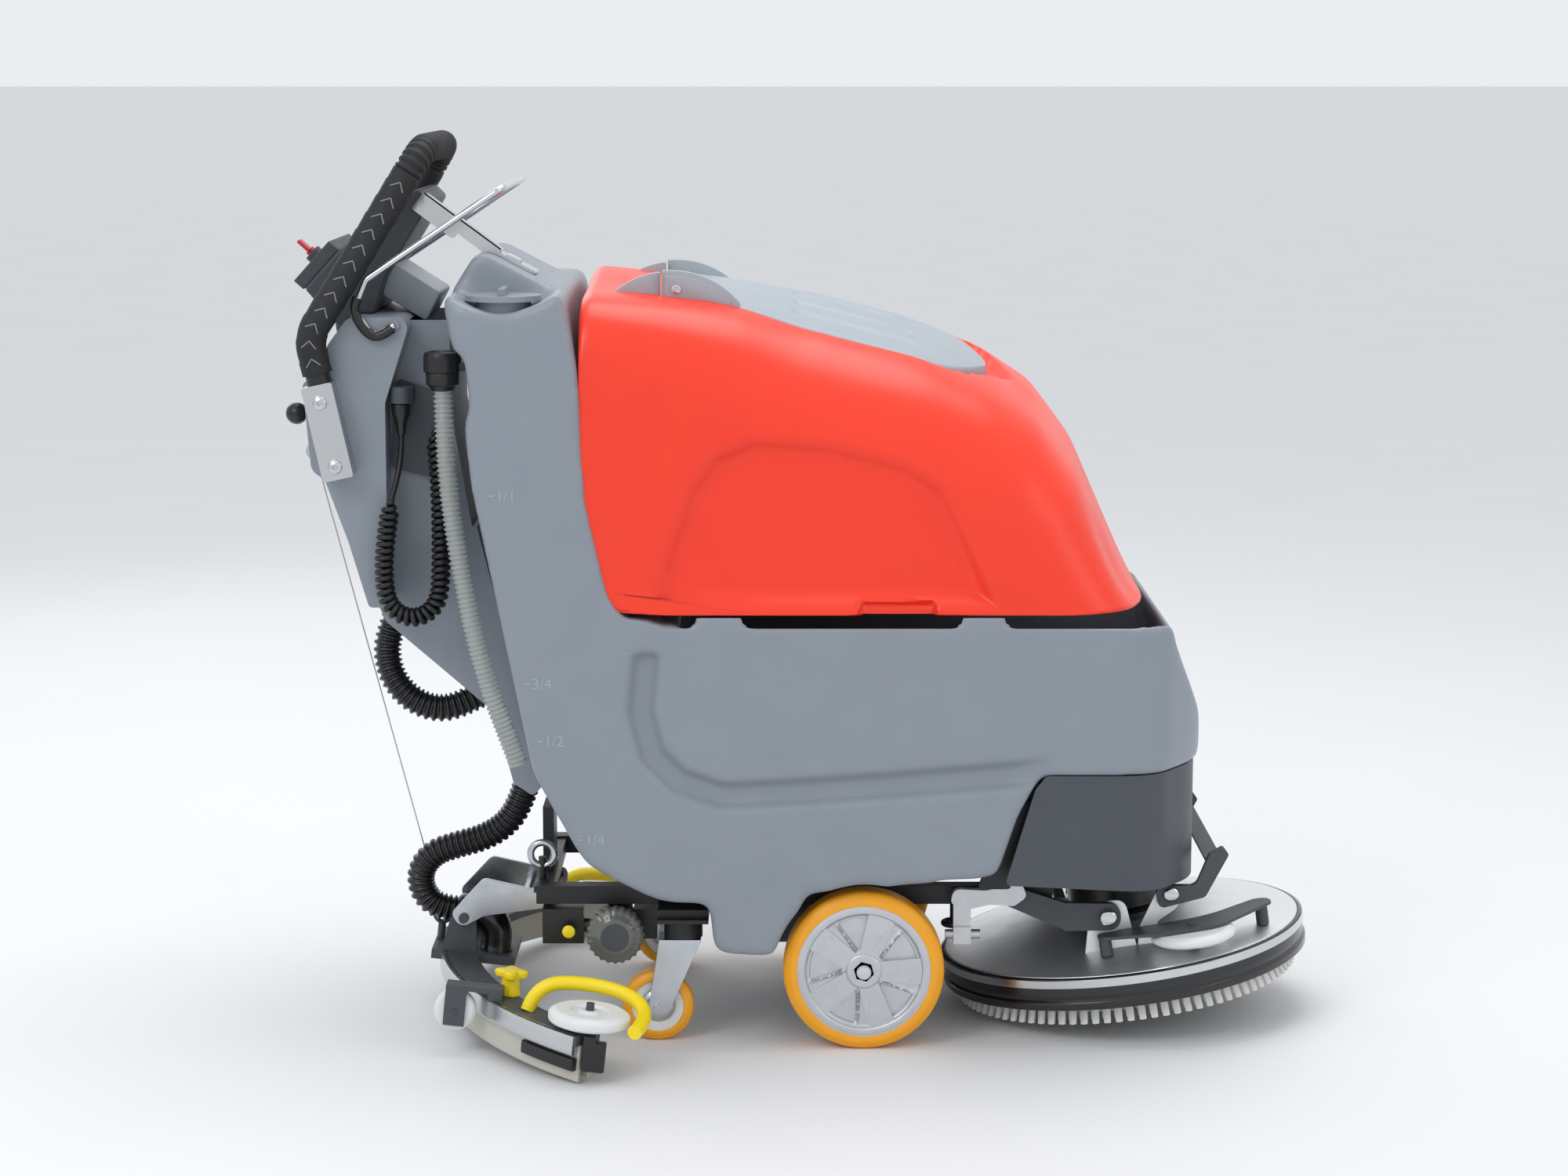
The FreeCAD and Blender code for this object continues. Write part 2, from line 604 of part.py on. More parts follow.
def chassis_frame():
    """Welded frame: two rails, cross members, posts to the hull's nose, caster plates and eye bolts."""
    pieces = []
    for name, sign in SIDES:
        inside = "-rail_half_gap - rail_width" if sign < 0 else "rail_half_gap"
        pieces.append(box(f"rail_{name}", ("rail_front - rail_rear", "rail_width", "hull_floor - 5 - rail_low"),
                          ("rail_rear", inside, "rail_low")))
        pieces.append(box(f"post_{name}", (20, "rail_width", "nose_height - rail_low - 2.5"),
                          ("rail_front - 20", inside, "rail_low")))
        track = f"{sign} * caster_track"
        plate = box(f"caster_plate_{name}", (64, 64, 5), ("caster_x - 32", f"({track}) - 32", 155))
        race = rod(f"caster_race_{name}", 24, 22.4, ("caster_x", track, 132.6))
        stack = box(f"caster_stack_{name}", (64, 60, "rail_low + 4 - 159"),
                    ("caster_x - 32", "-caster_track - 20" if sign < 0 else "caster_track - 40", 159))
        hole = rod(f"kingpin_hole_{name}", "kingpin_radius + 0.06", 19, ("caster_x", track, 132))
        pieces.append(cut(f"caster_mount_{name}", fuse(f"caster_block_{name}", [plate, race, stack]), [hole]))
    for index, place in enumerate(("rail_rear", "-30", "rail_front - 20")):
        pieces.append(box(f"cross_member_{index}", (20, "2 * rail_half_gap", "hull_floor - 8 - rail_low"),
                          (place, "-rail_half_gap", "rail_low")))
    pieces.append(box("rear_hanger", (14, 60, 150), ("rail_rear + 2", -50, "rail_low - 48")))
    pieces.append(box("front_hanger", (26, 120, 26), ("rail_front - 50", -60, "rail_low - 4")))
    for name, place, ring in (("rear", (-325, -104, 219), 15), ("front", (197, -145, 140), 13)):
        eye = doc.addObject("Part::Torus", f"eye_{name}")
        eye.Radius1 = ring
        eye.Radius2 = 4
        put(eye, place, Turn(V(0, 0, 1), V(0, 1, 0)) if name == "rear" else Turn())
        pieces.append(eye)
    pieces.append(rod("eye_shank_rear", 5, 40, (-325, -104, "rail_low + 10")))
    pieces.append(box("eye_stay_rear", (16, 50, 8), (-333, -150, "rail_low + 14")))
    pieces.append(rod("eye_shank_front", 5, 36, (197, -133, 138)))
    pieces.append(rod("arm_pin", 6, 150, (ARM_PIVOT[0], -75, ARM_PIVOT[1]), (0, 1, 0)))
    hole = rod("pivot_bar_hole", "pivot_bar_radius + 0.05", "2 * rail_half_gap + 2 * rail_width + 20",
               (LINK_PIVOT[0], "-rail_half_gap - rail_width - 10", LINK_PIVOT[1]), (0, 1, 0))
    node("chassis_frame", cut("frame_cut", fuse("frame_solid", pieces), [hole]))


def inner_parts():
    """What the bay holds: two batteries and the vacuum motor."""
    cells = []
    for name, sign in SIDES:
        low = "-187" if sign < 0 else "12"
        case = box(f"battery_case_{name}", (320, 175, 222), (-118, low, "bay_floor + 0.5"))
        posts = [rod(f"battery_post_{name}_{place}", 9, 16, (place, f"({low}) + 40", "bay_floor + 222"))
                 for place in (-80, 165)]
        cells.append(fuse(f"battery_{name}", [case] + posts))
    node("batteries", group("battery_pair", cells))
    bell = rod("vacuum_case", 70, 96, (352, 0, "nose_height + hull_wall + 0.3"))
    horn = rod("vacuum_horn", 19, 130, (352, 0, "nose_height + hull_wall + 40"), (0, 1, 0))
    node("vacuum_motor", fuse("vacuum_solid", [bell, horn]))


# ---------------------------------------------------------------- routes of hoses and leads
DRAIN_ROUTE = ((-434, -186, 817), (-433, -189, 778), (-431, -193, 734), (-427, -196, 686), (-420, -199, 634),
               (-411, -200, 580), (-402, -200, 532), (-390, -199, 484), (-377, -196, 438), (-362, -192, 394),
               (-347, -187, 352))
LEAD_ROUTE = ((-490, -150, 760), (-490, -153, 740), (-492, -159, 720), (-496, -168, 700), (-500, -178, 684))
COIL_ROUTE = ((-500, -178, 684), (-507, -180, 642), (-511, -181, 600), (-509, -182, 561), (-496, -182, 542),
              (-476, -182, 535), (-456, -181, 542), (-443, -178, 560), (-441, -173, 598), (-441, -167, 640),
              (-442, -161, 688), (-445, -155, 734), (-449, -150, 766))
UPPER_HOSE = ((-506, -60, 530), (-517, -65, 504), (-523, -71, 474), (-514, -77, 440), (-490, -81, 414),
              (-458, -82, 402), (-426, -78, 408), (-400, -70, 422))
LOWER_HOSE = ((-348, -52, 300), (-359, -50, 267), (-380, -47, 241), (-409, -43, 225), (-441, -39, 216),
              (-471, -35, 205), (-489, -31, 181), (-487, -28, 151), (-466, -26, 130), (-438.5, -26, 126.8))


# ---------------------------------------------------------------- rear console and handle
LEVER_PIVOT = (-570, 745)


def console_block(name):
    """Outside of the console's wide rear slab."""
    return pad(name, "side", [
        (-552, 905, 14), (-578, 870, 20), (-583, 832, 6), (-609, 826, 8), (-600, 716, 20), (-584, 706, 8),
        (-556, 628, 30), (-532, 546, 6), (-508, 546, 6), (-508, 800, 20), (-474, 905, 14)],
        "-console_half_width", "console_half_width")


def rear_console():
    """Moulded cover behind the tower, wide at the handle and waisted in front, slotted for the lever."""
    half = "console_half_width"
    slab = console_block("console_slab")
    web = pad("console_web", "side", [
        (-512, 898), (-512, 546), (-392, 546), (size("tower_rear") - 0.4, 786), (size("tower_rear") - 0.4, 898)],
        "-web_half_width", "web_half_width")
    low = pad("console_foot", "side", [(-512, 546), (-512, 640), (-402, 640), (-379, 546)],
              "-web_half_width", "web_half_width")
    space = pad("console_space", "side", [
        (-548, 896, 10), (-570, 866, 20), (-576, 826, 6), (-602, 818, 6), (-594, 720, 16), (-578, 706, 8),
        (-550, 630, 30), (-526, 552, 6), (-513, 552, 6), (-513, 800, 20), (-481, 896, 14)],
        "-console_half_width + console_wall", "console_half_width - console_wall")
    slot = box("lever_slot", (60, 20, 150), (-640, -10, 672))
    web_space = pad("web_space", "side", [(-511, 899), (-511, 552), (-398, 552), (size("tower_rear") - 4, 780),
                                          (size("tower_rear") - 4, 899)],
                    "-web_half_width + console_wall", "web_half_width - console_wall")
    cover = cut("console_cut", fuse("console_solid", [slab, web, low]), [space, slot, web_space])
    shaft = rod("lever_shaft", 4, f"2 * {half} - 4", (LEVER_PIVOT[0], f"-{half} + 2", LEVER_PIVOT[1]), (0, 1, 0))
    studs = [rod(f"bail_stud_{name}", 6, "bail_half_width - bail_radius - console_half_width + 3.7",
                 (BAIL_PIVOT[0], ear_side(sign, f"{half} - 4", "bail_half_width - bail_radius - 0.3"), BAIL_PIVOT[1]),
                 (0, 1, 0)) for name, sign in SIDES]
    node("rear_console", fuse("console_with_shaft", [cover, shaft] + studs))


def rear_cowl():
    """Lower cover under the console, round the suction duct."""
    corners = [(-529, 545.8), (-518, 520, 12), (-384, 404, 20), (-370, 350, 20), (-360, 312, 10), (-336, 296, 6),
               (-322, 310), (-336, 380), (-374, 545.8)]
    inner = [(-520, 540), (-510, 524, 8), (-378, 410, 20), (-364, 352, 16), (-353, 316, 8), (-338, 304),
             (-330, 318), (-344, 384), (-380, 540)]
    shell = pad("cowl_shell", "side", corners, "-web_half_width + 2", "web_half_width - 2")
    space = pad("cowl_space", "side", inner, "-web_half_width + 7", "web_half_width - 7")
    ways = [feature(f"{name}_hose_way", pipe(route, size("suction_diameter") / 2 + 0.3))
            for name, route in (("upper", UPPER_HOSE), ("lower", LOWER_HOSE))]
    node("rear_cowl", cut("cowl_cut", shell, [space] + ways))


LEG_FOOT = (-562, 722)
LEG_BEND = (-597, 883)


def handle_path():
    low = size("leg_y_low")
    high = size("leg_y_high")
    bar = (size("bar_x"), -high, size("bar_height"))
    return mirrored_points([(LEG_FOOT[0], -low, LEG_FOOT[1]), (LEG_BEND[0], -low, LEG_BEND[1]), bar])


def handle():
    """Bent steel tube with wrapped legs and a ribbed crossbar grip, clamped in two channel brackets."""
    tube = size("tube_radius")
    points = handle_path()
    bends = 42
    node("handle_tube", feature("handle_tube_shape", pipe(points, tube, bends).cut(pipe(points, tube - 2, bends))))
    foot, bend, bar = points[:3]
    leg = [V(*foot) * 0.28 + V(*bend) * 0.72, V(*bend), V(*bend) * 0.18 + V(*bar) * 0.82]
    wrap = pipe([tuple(point) for point in leg], size("grip_radius"), bends).cut(pipe(points, tube, bends))
    wraps = feature("grip_wraps", Part.makeCompound([wrap, wrap.mirror(V(0, 0, 0), V(0, 1, 0))]))
    sleeve = rod("bar_grip_outer", "bar_grip_radius", "bar_grip_length",
                 ("bar_x", "-bar_grip_length / 2", "bar_height"), (0, 1, 0))
    bore = rod("bar_grip_bore", "tube_radius", "bar_grip_length + 2",
               ("bar_x", "-bar_grip_length / 2 - 1", "bar_height"), (0, 1, 0))
    ribs = [rod(f"bar_rib_{index}", "bar_grip_radius + 1.5", 5,
                ("bar_x", f"-bar_grip_length / 2 + 4 + {index} * (bar_grip_length - 13) / 20", "bar_height"),
                (0, 1, 0)) for index in range(21)]
    bar_grip = cut("bar_grip_cut", fuse("bar_grip_solid", [sleeve] + ribs), [bore])
    node("handle_grips", group("grip_set", [wraps, bar_grip]))


def handle_brackets():
    """Aluminium channels that clamp the handle's legs to the console, each with two pan-head screws."""
    lean = math.degrees(math.atan2(LEG_FOOT[0] - LEG_BEND[0], LEG_BEND[1] - LEG_FOOT[1]))
    turn = Turn(V(0, 1, 0), -lean)
    blocks = []
    for name, sign in SIDES:
        low = "-leg_y_low - tube_radius - 3" if sign < 0 else "console_half_width"
        channel = pad(f"bracket_{name}_block", "side", [(-19, 0, 3), (19, 0, 3), (19, 118, 3), (-19, 118, 3)],
                      low, f"({low}) + leg_y_low + tube_radius + 3 - console_half_width")
        channel.Placement = Place(V(LEG_FOOT[0], 0, LEG_FOOT[1] - 12), turn)
        bore = doc.addObject("Part::Cylinder", f"bracket_bore_{name}")
        bind(bore, "Radius", "tube_radius")
        bore.Height = 300
        start = V(LEG_FOOT[0], sign * size("leg_y_low"), LEG_FOOT[1])
        bore.Placement = Place(start, turn)
        clamp = cut(f"bracket_{name}", channel, [bore])
        screws = []
        for place in (16, 96):
            centre = V(LEG_FOOT[0], 0, LEG_FOOT[1] - 12) + turn.multVec(V(0, 0, place))
            face = sign * (size("leg_y_low") + size("tube_radius") + 3)
            head = turned(f"screw_{name}_{place}", [(0, -2.9), (5, -2.9), (5, 0), (9, 0), (8, 3, 2), (4, 5), (3.2, 5),
                                                   (3.2, 2), (0, 2)],
                          (centre.x, face, centre.z), (0, sign, 0))
            screws.append(head)
        blocks += [fuse(f"clamp_{name}", [clamp] + screws)]
    node("handle_brackets", group("bracket_pair", blocks))


def controls():
    """Control housing between the legs, its slanted panel, key, push button and stay."""
    slope = Turn(V(0, 1, 0), -48)
    face = V(-598, 0, 965)
    low = face + slope.multVec(V(-31, 0, -8.2))
    high = face + slope.multVec(V(31, 0, -8.2))
    housing = pad("housing_block", "side", [
        (low.x, low.z, 6), (-572, 890, 10), (-536, 876, 8), (-512, 950, 30), (-454, 1044, 6), (-470, 1060, 6),
        (-500, 1040, 10), (high.x, high.z, 6)], "-panel_half_width", "panel_half_width")
    node("control_housing", cut("housing_cut", housing, [console_block("housing_seat")]))
    plate = doc.addObject("Part::Box", "panel_plate")
    plate.Length = 66
    bind(plate, "Width", "2 * panel_half_width - 10")
    plate.Height = 16
    plate.Placement = Place(face + slope.multVec(V(-33, 5 - size("panel_half_width"), -8)), slope)
    key_seat = feature("key_seat", Part.makeCylinder(11, 9, slope.multVec(V(4, -60, 8)) + face,
                                                     slope.multVec(V(0, 0, 1))))
    socket = feature("key_bore", Part.makeCylinder(3.1, 20, slope.multVec(V(4, -60, 1)) + face,
                                                   slope.multVec(V(0, 0, 1))))
    well = feature("button_well", Part.makeCylinder(8.1, 12, slope.multVec(V(4, 40, 0)) + face,
                                                    slope.multVec(V(0, 0, 1))))
    node("control_panel", cut("panel_cut", fuse("panel_solid", [plate, key_seat]), [socket, well]))
    stem = Part.makeCylinder(3, 13, V(4, -60, 8.5), V(0, 0, 1))
    bow = Part.makeBox(5, 22, 20, V(1.5, -71, 19))
    bow = bow.makeFillet(2, bow.Edges)
    key = stem.fuse(bow).fuse(Part.makeCylinder(6, 4, V(4, -60, 17.2), V(0, 0, 1)))
    node("ignition_key", feature("key_shape", key, Place(face, slope)))
    button = Part.makeCylinder(8, 7.5, V(4, 40, 4.2), V(0, 0, 1))
    node("start_button", feature("button_shape", button, Place(face, slope)))
    node("panel_strut", feature("strut_shape", strut_shape()))


def strut_shape():
    """Bent flat stay from the handle's top to a latch plate on the tower."""
    top = V(-462, -96, 1056)
    foot = V(-368, -96, size("tower_top") - 9)
    run = foot - top
    bar = Part.makeBox(run.Length, 22, 4)
    bar.Placement = Place(top, Turn(V(1, 0, 0), run))
    lean = math.degrees(math.atan2(size("tower_top") - size("shelf_height") + 10, 108))
    plate = Part.makeBox(74, 50, 4)
    plate.Placement = Place(V(-390, -112, size("tower_top") - 1.2), Turn(V(0, 1, 0), lean))
    return bar.fuse(plate)


BAIL_PIVOT = (-494, 896)


def bail():
    """Bent wire bail that hangs over the tower, hooked round its pivots at both sides."""
    half = size("bail_half_width")
    points = mirrored_points([(BAIL_PIVOT[0], -half, BAIL_PIVOT[1]), (-520, -half, 882), (-543, -half, 914),
                              (-527, -half, 952), (-360, -half, 1063)])
    wire = pipe(points, size("bail_radius"), 12)
    node("bail_rod", feature("bail_shape", wire))


def lift_lever():
    """Lever with a ball knob that works the squeegee's cable through the console's slot."""
    pivot = V(LEVER_PIVOT[0], 0, LEVER_PIVOT[1])
    hub = rod("lever_hub", 9, 16, (pivot.x, -8, pivot.z), (0, 1, 0))
    knob = V(-640, 0, 771)
    stem = feature("lever_stem", Part.makeCylinder(size("lever_radius"), (knob - pivot).Length - 8, pivot,
                                                   knob - pivot))
    anchor = V(-618, 0, 723)
    tail = feature("lever_tail", Part.makeCylinder(size("lever_radius"), (anchor - pivot).Length, pivot,
                                                   anchor - pivot))
    washers = rod("anchor_washers", 11, 8, (anchor.x, -4, anchor.z), (0, 1, 0))
    bore = rod("lever_bore", 4.06, 30, (pivot.x, -15, pivot.z), (0, 1, 0))
    node("lift_lever", cut("lever_cut", fuse("lever_solid", [hub, stem, tail, washers]), [bore]))
    core = ball("knob_ball", "ball_radius", (knob.x, 0, knob.z))
    socket = feature("knob_socket", Part.makeCylinder(size("lever_radius"), (knob - pivot).Length - 8, pivot,
                                                        knob - pivot))
    node("ball_knob", cut("knob_cut", core, [socket]))


def cable():
    """Thin wire rope, pulled tight from the lever's tail to the squeegee's ring."""
    top = V(-616, 0, 710.5)
    ring = squeegee_place().multVec(V(RING_CENTRE[0], 0, RING_CENTRE[1]))
    along = (top - ring).normalize()
    start = ring + along * (RING_RADIUS + RING_WIRE + 0.4)
    line = Part.makeCylinder(size("cable_radius"), (top - start).Length, start, along)
    crimp = Part.makeCylinder(3, 22, start, along)
    print("cable ring", tuple(round(value, 2) for value in ring))
    node("lift_cable", feature("cable_shape", line.fuse(crimp)))


# ---------------------------------------------------------------- hoses and leads
def hoses():
    """Drain hose with its cap and clip, suction hoses, and the charger's curly lead with its plug."""
    node("drain_hose", feature("drain_shape", pipe(DRAIN_ROUTE, size("drain_diameter") / 2, label="drain hose")))
    cap = turned("drain_cap_turned", [(0, 0), (12.4, 0), (17, 6), (20, 8), (20, 22, 2), (23, 24, 2), (23, 46, 6),
                                      (0, 48)], (-434.5, -186, 817.5))
    clip = box("drain_clip", (15.8, 18, 10), (-418, -195, 842))
    node("drain_cap", fuse("drain_cap_solid", [cap, clip]))
    node("upper_suction_hose", feature("upper_hose_shape", pipe(UPPER_HOSE, size("suction_diameter") / 2,
                                                                label="upper suction hose")))
    node("lower_suction_hose", feature("lower_hose_shape", pipe(LOWER_HOSE, size("suction_diameter") / 2 - 1,
                                                                label="lower suction hose")))
    node("charger_lead", feature("lead_shape", pipe(LEAD_ROUTE, size("lead_diameter") / 2, label="charger lead")))
    node("charger_coil", feature("coil_shape", pipe(COIL_ROUTE, size("coil_diameter") / 2, label="charger coil")))
    plug = turned("plug_turned", [(0, 0), (5, 0), (7, 14, 4), (11, 24, 4), (12, 38, 3), (0, 38)],
                  (-490, -150, 760.5))
    node("charger_plug", plug)
    panel = pad("socket_plate", "side", [(-507, 715, 8), (-452, 702, 8), (-440, 806, 8), (-500, 828, 8)],
                "-web_half_width - 7", "-web_half_width - 0.2")
    seat = rod("socket_seat", 13, 20, (-490, -150, 799))
    arm = box("socket_arm", (24, 38, 18), (-500, -150, 800))
    screws = [rod(f"socket_screw_{index}", 4.5, 4, (x, "-web_half_width - 10", z), (0, 1, 0))
              for index, (x, z) in enumerate(((-494, 816), (-453, 716)))]
    node("socket_panel", fuse("socket_solid", [panel, seat, arm] + screws))


# ---------------------------------------------------------------- water parts
def water_parts():
    """Filter with a screwed clear bowl, and the solenoid valve beside it."""
    head = rod("filter_head", 30, 44, (-229, -176, 135), (0, 1, 0))
    pipe_in = rod("filter_pipe", 9, 60, (-290, -150, 138), (1, 0, 0))
    coil = box("valve_coil", (52, 34, 44), (-322, -160, 117))
    valve = box("valve_body", (30, 30, 38), (-208, -148, 120))
    stay = box("valve_stay", (30, 10, 28), (-240, -142, "rail_low - 28.2"))
    node("water_valve", fuse("water_solid", [head, pipe_in, coil, valve, stay]))
    bowl = turned("bowl_turned", [(0, 0), (22, 0, 4), (26, 6), (34, 8, 3), (34, 26, 3), (30.5, 26), (30.5, 12),
                                  (20, 9), (0, 9)], (-229, -202, 135), (0, 1, 0))
    node("filter_bowl", bowl)


# ---------------------------------------------------------------- squeegee
def squeegee_place():
    """Placement that tips the level squeegee about its blade tips, so that its middle is raised."""
    turn = Turn(V(0, 1, 0), size("squeegee_tilt"))
    tip = V(size("squeegee_tip_x"), 0, 0)
    return Place(tip + V(0, 0, size("squeegee_lift")) - turn.multVec(tip), turn)


def arc_band(name, outer, inner, low, high):
    """Upright band between two radii about the squeegee's centre."""
    band = rod(name + "_outer", outer, f"({high}) - ({low})", ("squeegee_centre_x", 0, low))
    bind(band, "Angle", "2 * squeegee_half_angle")
    band.Placement = Place(band.Placement.Base, Turn(V(0, 0, 1), 180 - size("squeegee_half_angle")))
    core = rod(name + "_inner", inner, f"({high}) - ({low}) + 2", ("squeegee_centre_x", 0, f"({low}) - 1"))
    return cut(name, band, [core])


SQUEEGEE_PIN = (-442, 104.6)
RING_CENTRE = (-474, 90)
RING_RADIUS = 10
RING_WIRE = 3


def around(radius, angle):
    """Point at a radius and an angle from straight back, about the squeegee's centre."""
    turn = math.radians(angle)
    return size("squeegee_centre_x") - radius * math.cos(turn), -radius * math.sin(turn)


def squeegee():
    """Curved beam with two blades, knobs, end rollers in guard bows and rear rollers in forks."""
    place = squeegee_place()
    radius = "squeegee_radius"
    plate = arc_band("beam_plate", f"{radius} + 20", f"{radius} - 26", "46", "58")
    wall = arc_band("beam_wall", f"{radius} + 6", f"{radius} - 8", "24", "47")
    middle = box("beam_middle", (108, 120, 12), (-480, -60, 46))
    pieces = [plate, wall, middle]
    for name, sign in SIDES:
        pieces.append(pad(f"beam_lug_{name}", "side", [
            (-468, 56), (-460, 100, 8), (-442, 118, 10), (-426, 100, 8), (-422, 56)],
            ear_side(sign, 50, 58), ear_side(sign, 58, 50)))
        pieces.append(rod(f"squeegee_pin_{name}", 6, 24, (SQUEEGEE_PIN[0], ear_side(sign, 48, 72), SQUEEGEE_PIN[1]),
                          (0, 1, 0)))
    ring = doc.addObject("Part::Torus", "eye_ring")
    ring.Radius1 = RING_RADIUS
    ring.Radius2 = RING_WIRE
    put(ring, (RING_CENTRE[0], 0, RING_CENTRE[1]), Turn(V(0, 0, 1), V(0, 1, 0)))
    mouth = rod("suction_mouth", 17, 30, (-400, -26, 40))
    pieces += [ring, rod("eye_post", 5, 22, (RING_CENTRE[0], 0, 57))]
    for name, sign in SIDES:
        x, y = around(size("squeegee_radius") + 49, 30.5)
        y *= -sign
        stem = box(f"roller_stem_{name}", (70, 26, 6), (x - 13, y - 13, 67))
        riser = box(f"roller_riser_{name}", (17, 26, 16), (x + 40, y - 13, 57))
        cheeks = [box(f"roller_cheek_{name}_{index}", (26, 3, 46), (x - 13, y + offset, 22))
                  for index, offset in enumerate((-13, 10))]
        axle = rod(f"roller_axle_{name}", 3, 30, (x, y - 15, 40), (0, 1, 0))
        pieces += [stem, riser, axle] + cheeks
        stud_x, stud_y = around(438, 52)
        pieces.append(rod(f"disc_stud_{name}", 5, 34, (stud_x, -sign * stud_y, 56)))
        knob_x, knob_y = around(441, 32)
        pieces.append(rod(f"knob_stud_{name}", 4, 22, (knob_x, -sign * knob_y, 57)))
        wheel = turned(f"rear_roller_{name}_turned", [(3.06, 0), (9, 0), (22, 1), (26, 4, 3), (26, 14, 3), (22, 17),
                                                     (9, 18), (3.06, 18)], (0, 0, 0), (0, 1, 0))
        wheel.Placement = place.multiply(Place(V(x, y - 9, 40), Turn(V(0, 0, 1), V(0, 1, 0))))
        node(f"rear_roller_{name}", wheel)
        disc = turned(f"disc_{name}_turned", [(5.06, 0), (40, 0), (50, 5, 5), (50, 16, 6), (42, 20, 6), (5.06, 20)])
        disc.Placement = place.multiply(Place(V(stud_x, -sign * stud_y, 62), Turn()))
        node(f"disc_roller_{name}", disc)
        star = star_knob(name)
        star.Placement = place.multiply(Place(V(knob_x, -sign * knob_y, 58.4), Turn()))
        node(f"star_knob_{name}", star)
    seal = cut("beam_bored", fuse("beam_solid", pieces), [mouth])
    seal.Placement = place
    node("squeegee_beam", seal)
    clamps = []
    bows = []
    for name, sign in SIDES:
        tip_x, tip_y = around(size("squeegee_radius") - 1, size("squeegee_half_angle") + 1.6)
        clamps.append(Part.makeBox(30, 16, 44, V(tip_x - 15, -sign * tip_y - 8, 16)))
        route = [(-338, 292, 58), (-330, 286, 92), (-262, 279, 96), (-206, 300, 90), (-190, 340, 74), (-204, 384, 70)]
        bows.append(pipe([(x, sign * y, z) for x, y, z in route], 9, 22))
    blades = group("blade_set", [
        arc_band("rear_blade", f"{radius} + 6 + blade_thickness", f"{radius} + 6", "0", "blade_height"),
        arc_band("front_blade", f"{radius} - 8", f"{radius} - 8 - blade_thickness", "2", "blade_height"),
        feature("blade_latches", Part.makeCompound(clamps))])
    blades.Placement = place
    node("squeegee_blades", blades)
    node("guard_bows", feature("bow_shape", Part.makeCompound(bows), place))
    elbow = pipe([(-450, -26, 105), (-400, -26, 105), (-400, -26, 58)], 22, 30).cut(
        pipe([(-451, -26, 105), (-400, -26, 105), (-400, -26, 50)], 17, 30))
    node("suction_elbow", feature("elbow_shape", elbow, place))


def star_knob(name):
    """Moulded knob with a ribbed stem and a four-pointed head."""
    stem = turned(f"knob_stem_{name}", [(4.06, 0), (13, 0), (11, 14, 2), (11, 24), (4.06, 24)])
    along = box(f"knob_bar_along_{name}", ("2 * knob_radius", 12, 10), ("-knob_radius", -6, 22))
    across = box(f"knob_bar_across_{name}", (12, "2 * knob_radius", 10), (-6, "-knob_radius", 22))
    return fuse(f"knob_{name}", [stem, along, across])


def squeegee_arm():
    """Two flat bars from the frame's hanger to the squeegee's pin, with a tie bar."""
    bars = [pad(f"arm_bar_{name}", "side", [
        (ARM_PIVOT[0] + 12, 140, 8), (ARM_PIVOT[0] + 12, 161, 8), (-338, 163, 10), (-404, 178, 10),
        (-447, 132, 10), (-434, 112, 12), (-404, 128, 20), (-330, 138, 10)],
        "-66" if sign < 0 else "60", "-60" if sign < 0 else "66") for name, sign in SIDES]
    tie = rod("arm_tie", 6, 124, (-352, -62, 150), (0, 1, 0))
    place = squeegee_place()
    pin = place.multVec(V(SQUEEGEE_PIN[0], 0, SQUEEGEE_PIN[1]))
    bores = [rod("arm_bore", 6.06, 160, (ARM_PIVOT[0], -80, ARM_PIVOT[1]), (0, 1, 0)),
             rod("pin_bore", 6.06, 160, (pin.x, -80, pin.z), (0, 1, 0))]
    print("squeegee pin", tuple(round(value, 2) for value in pin))
    node("squeegee_arm", cut("arm_cut", fuse("arm_solid", bars + [tie]), bores))


# ---------------------------------------------------------------- brush deck
DECK_PIN = (-24, 123.5)
FRONT_PIN = (58, 142)


def deck_place():
    return Place(V(size("deck_x"), 0, size("deck_lift")), Turn(V(0, 1, 0), -size("deck_tilt")))


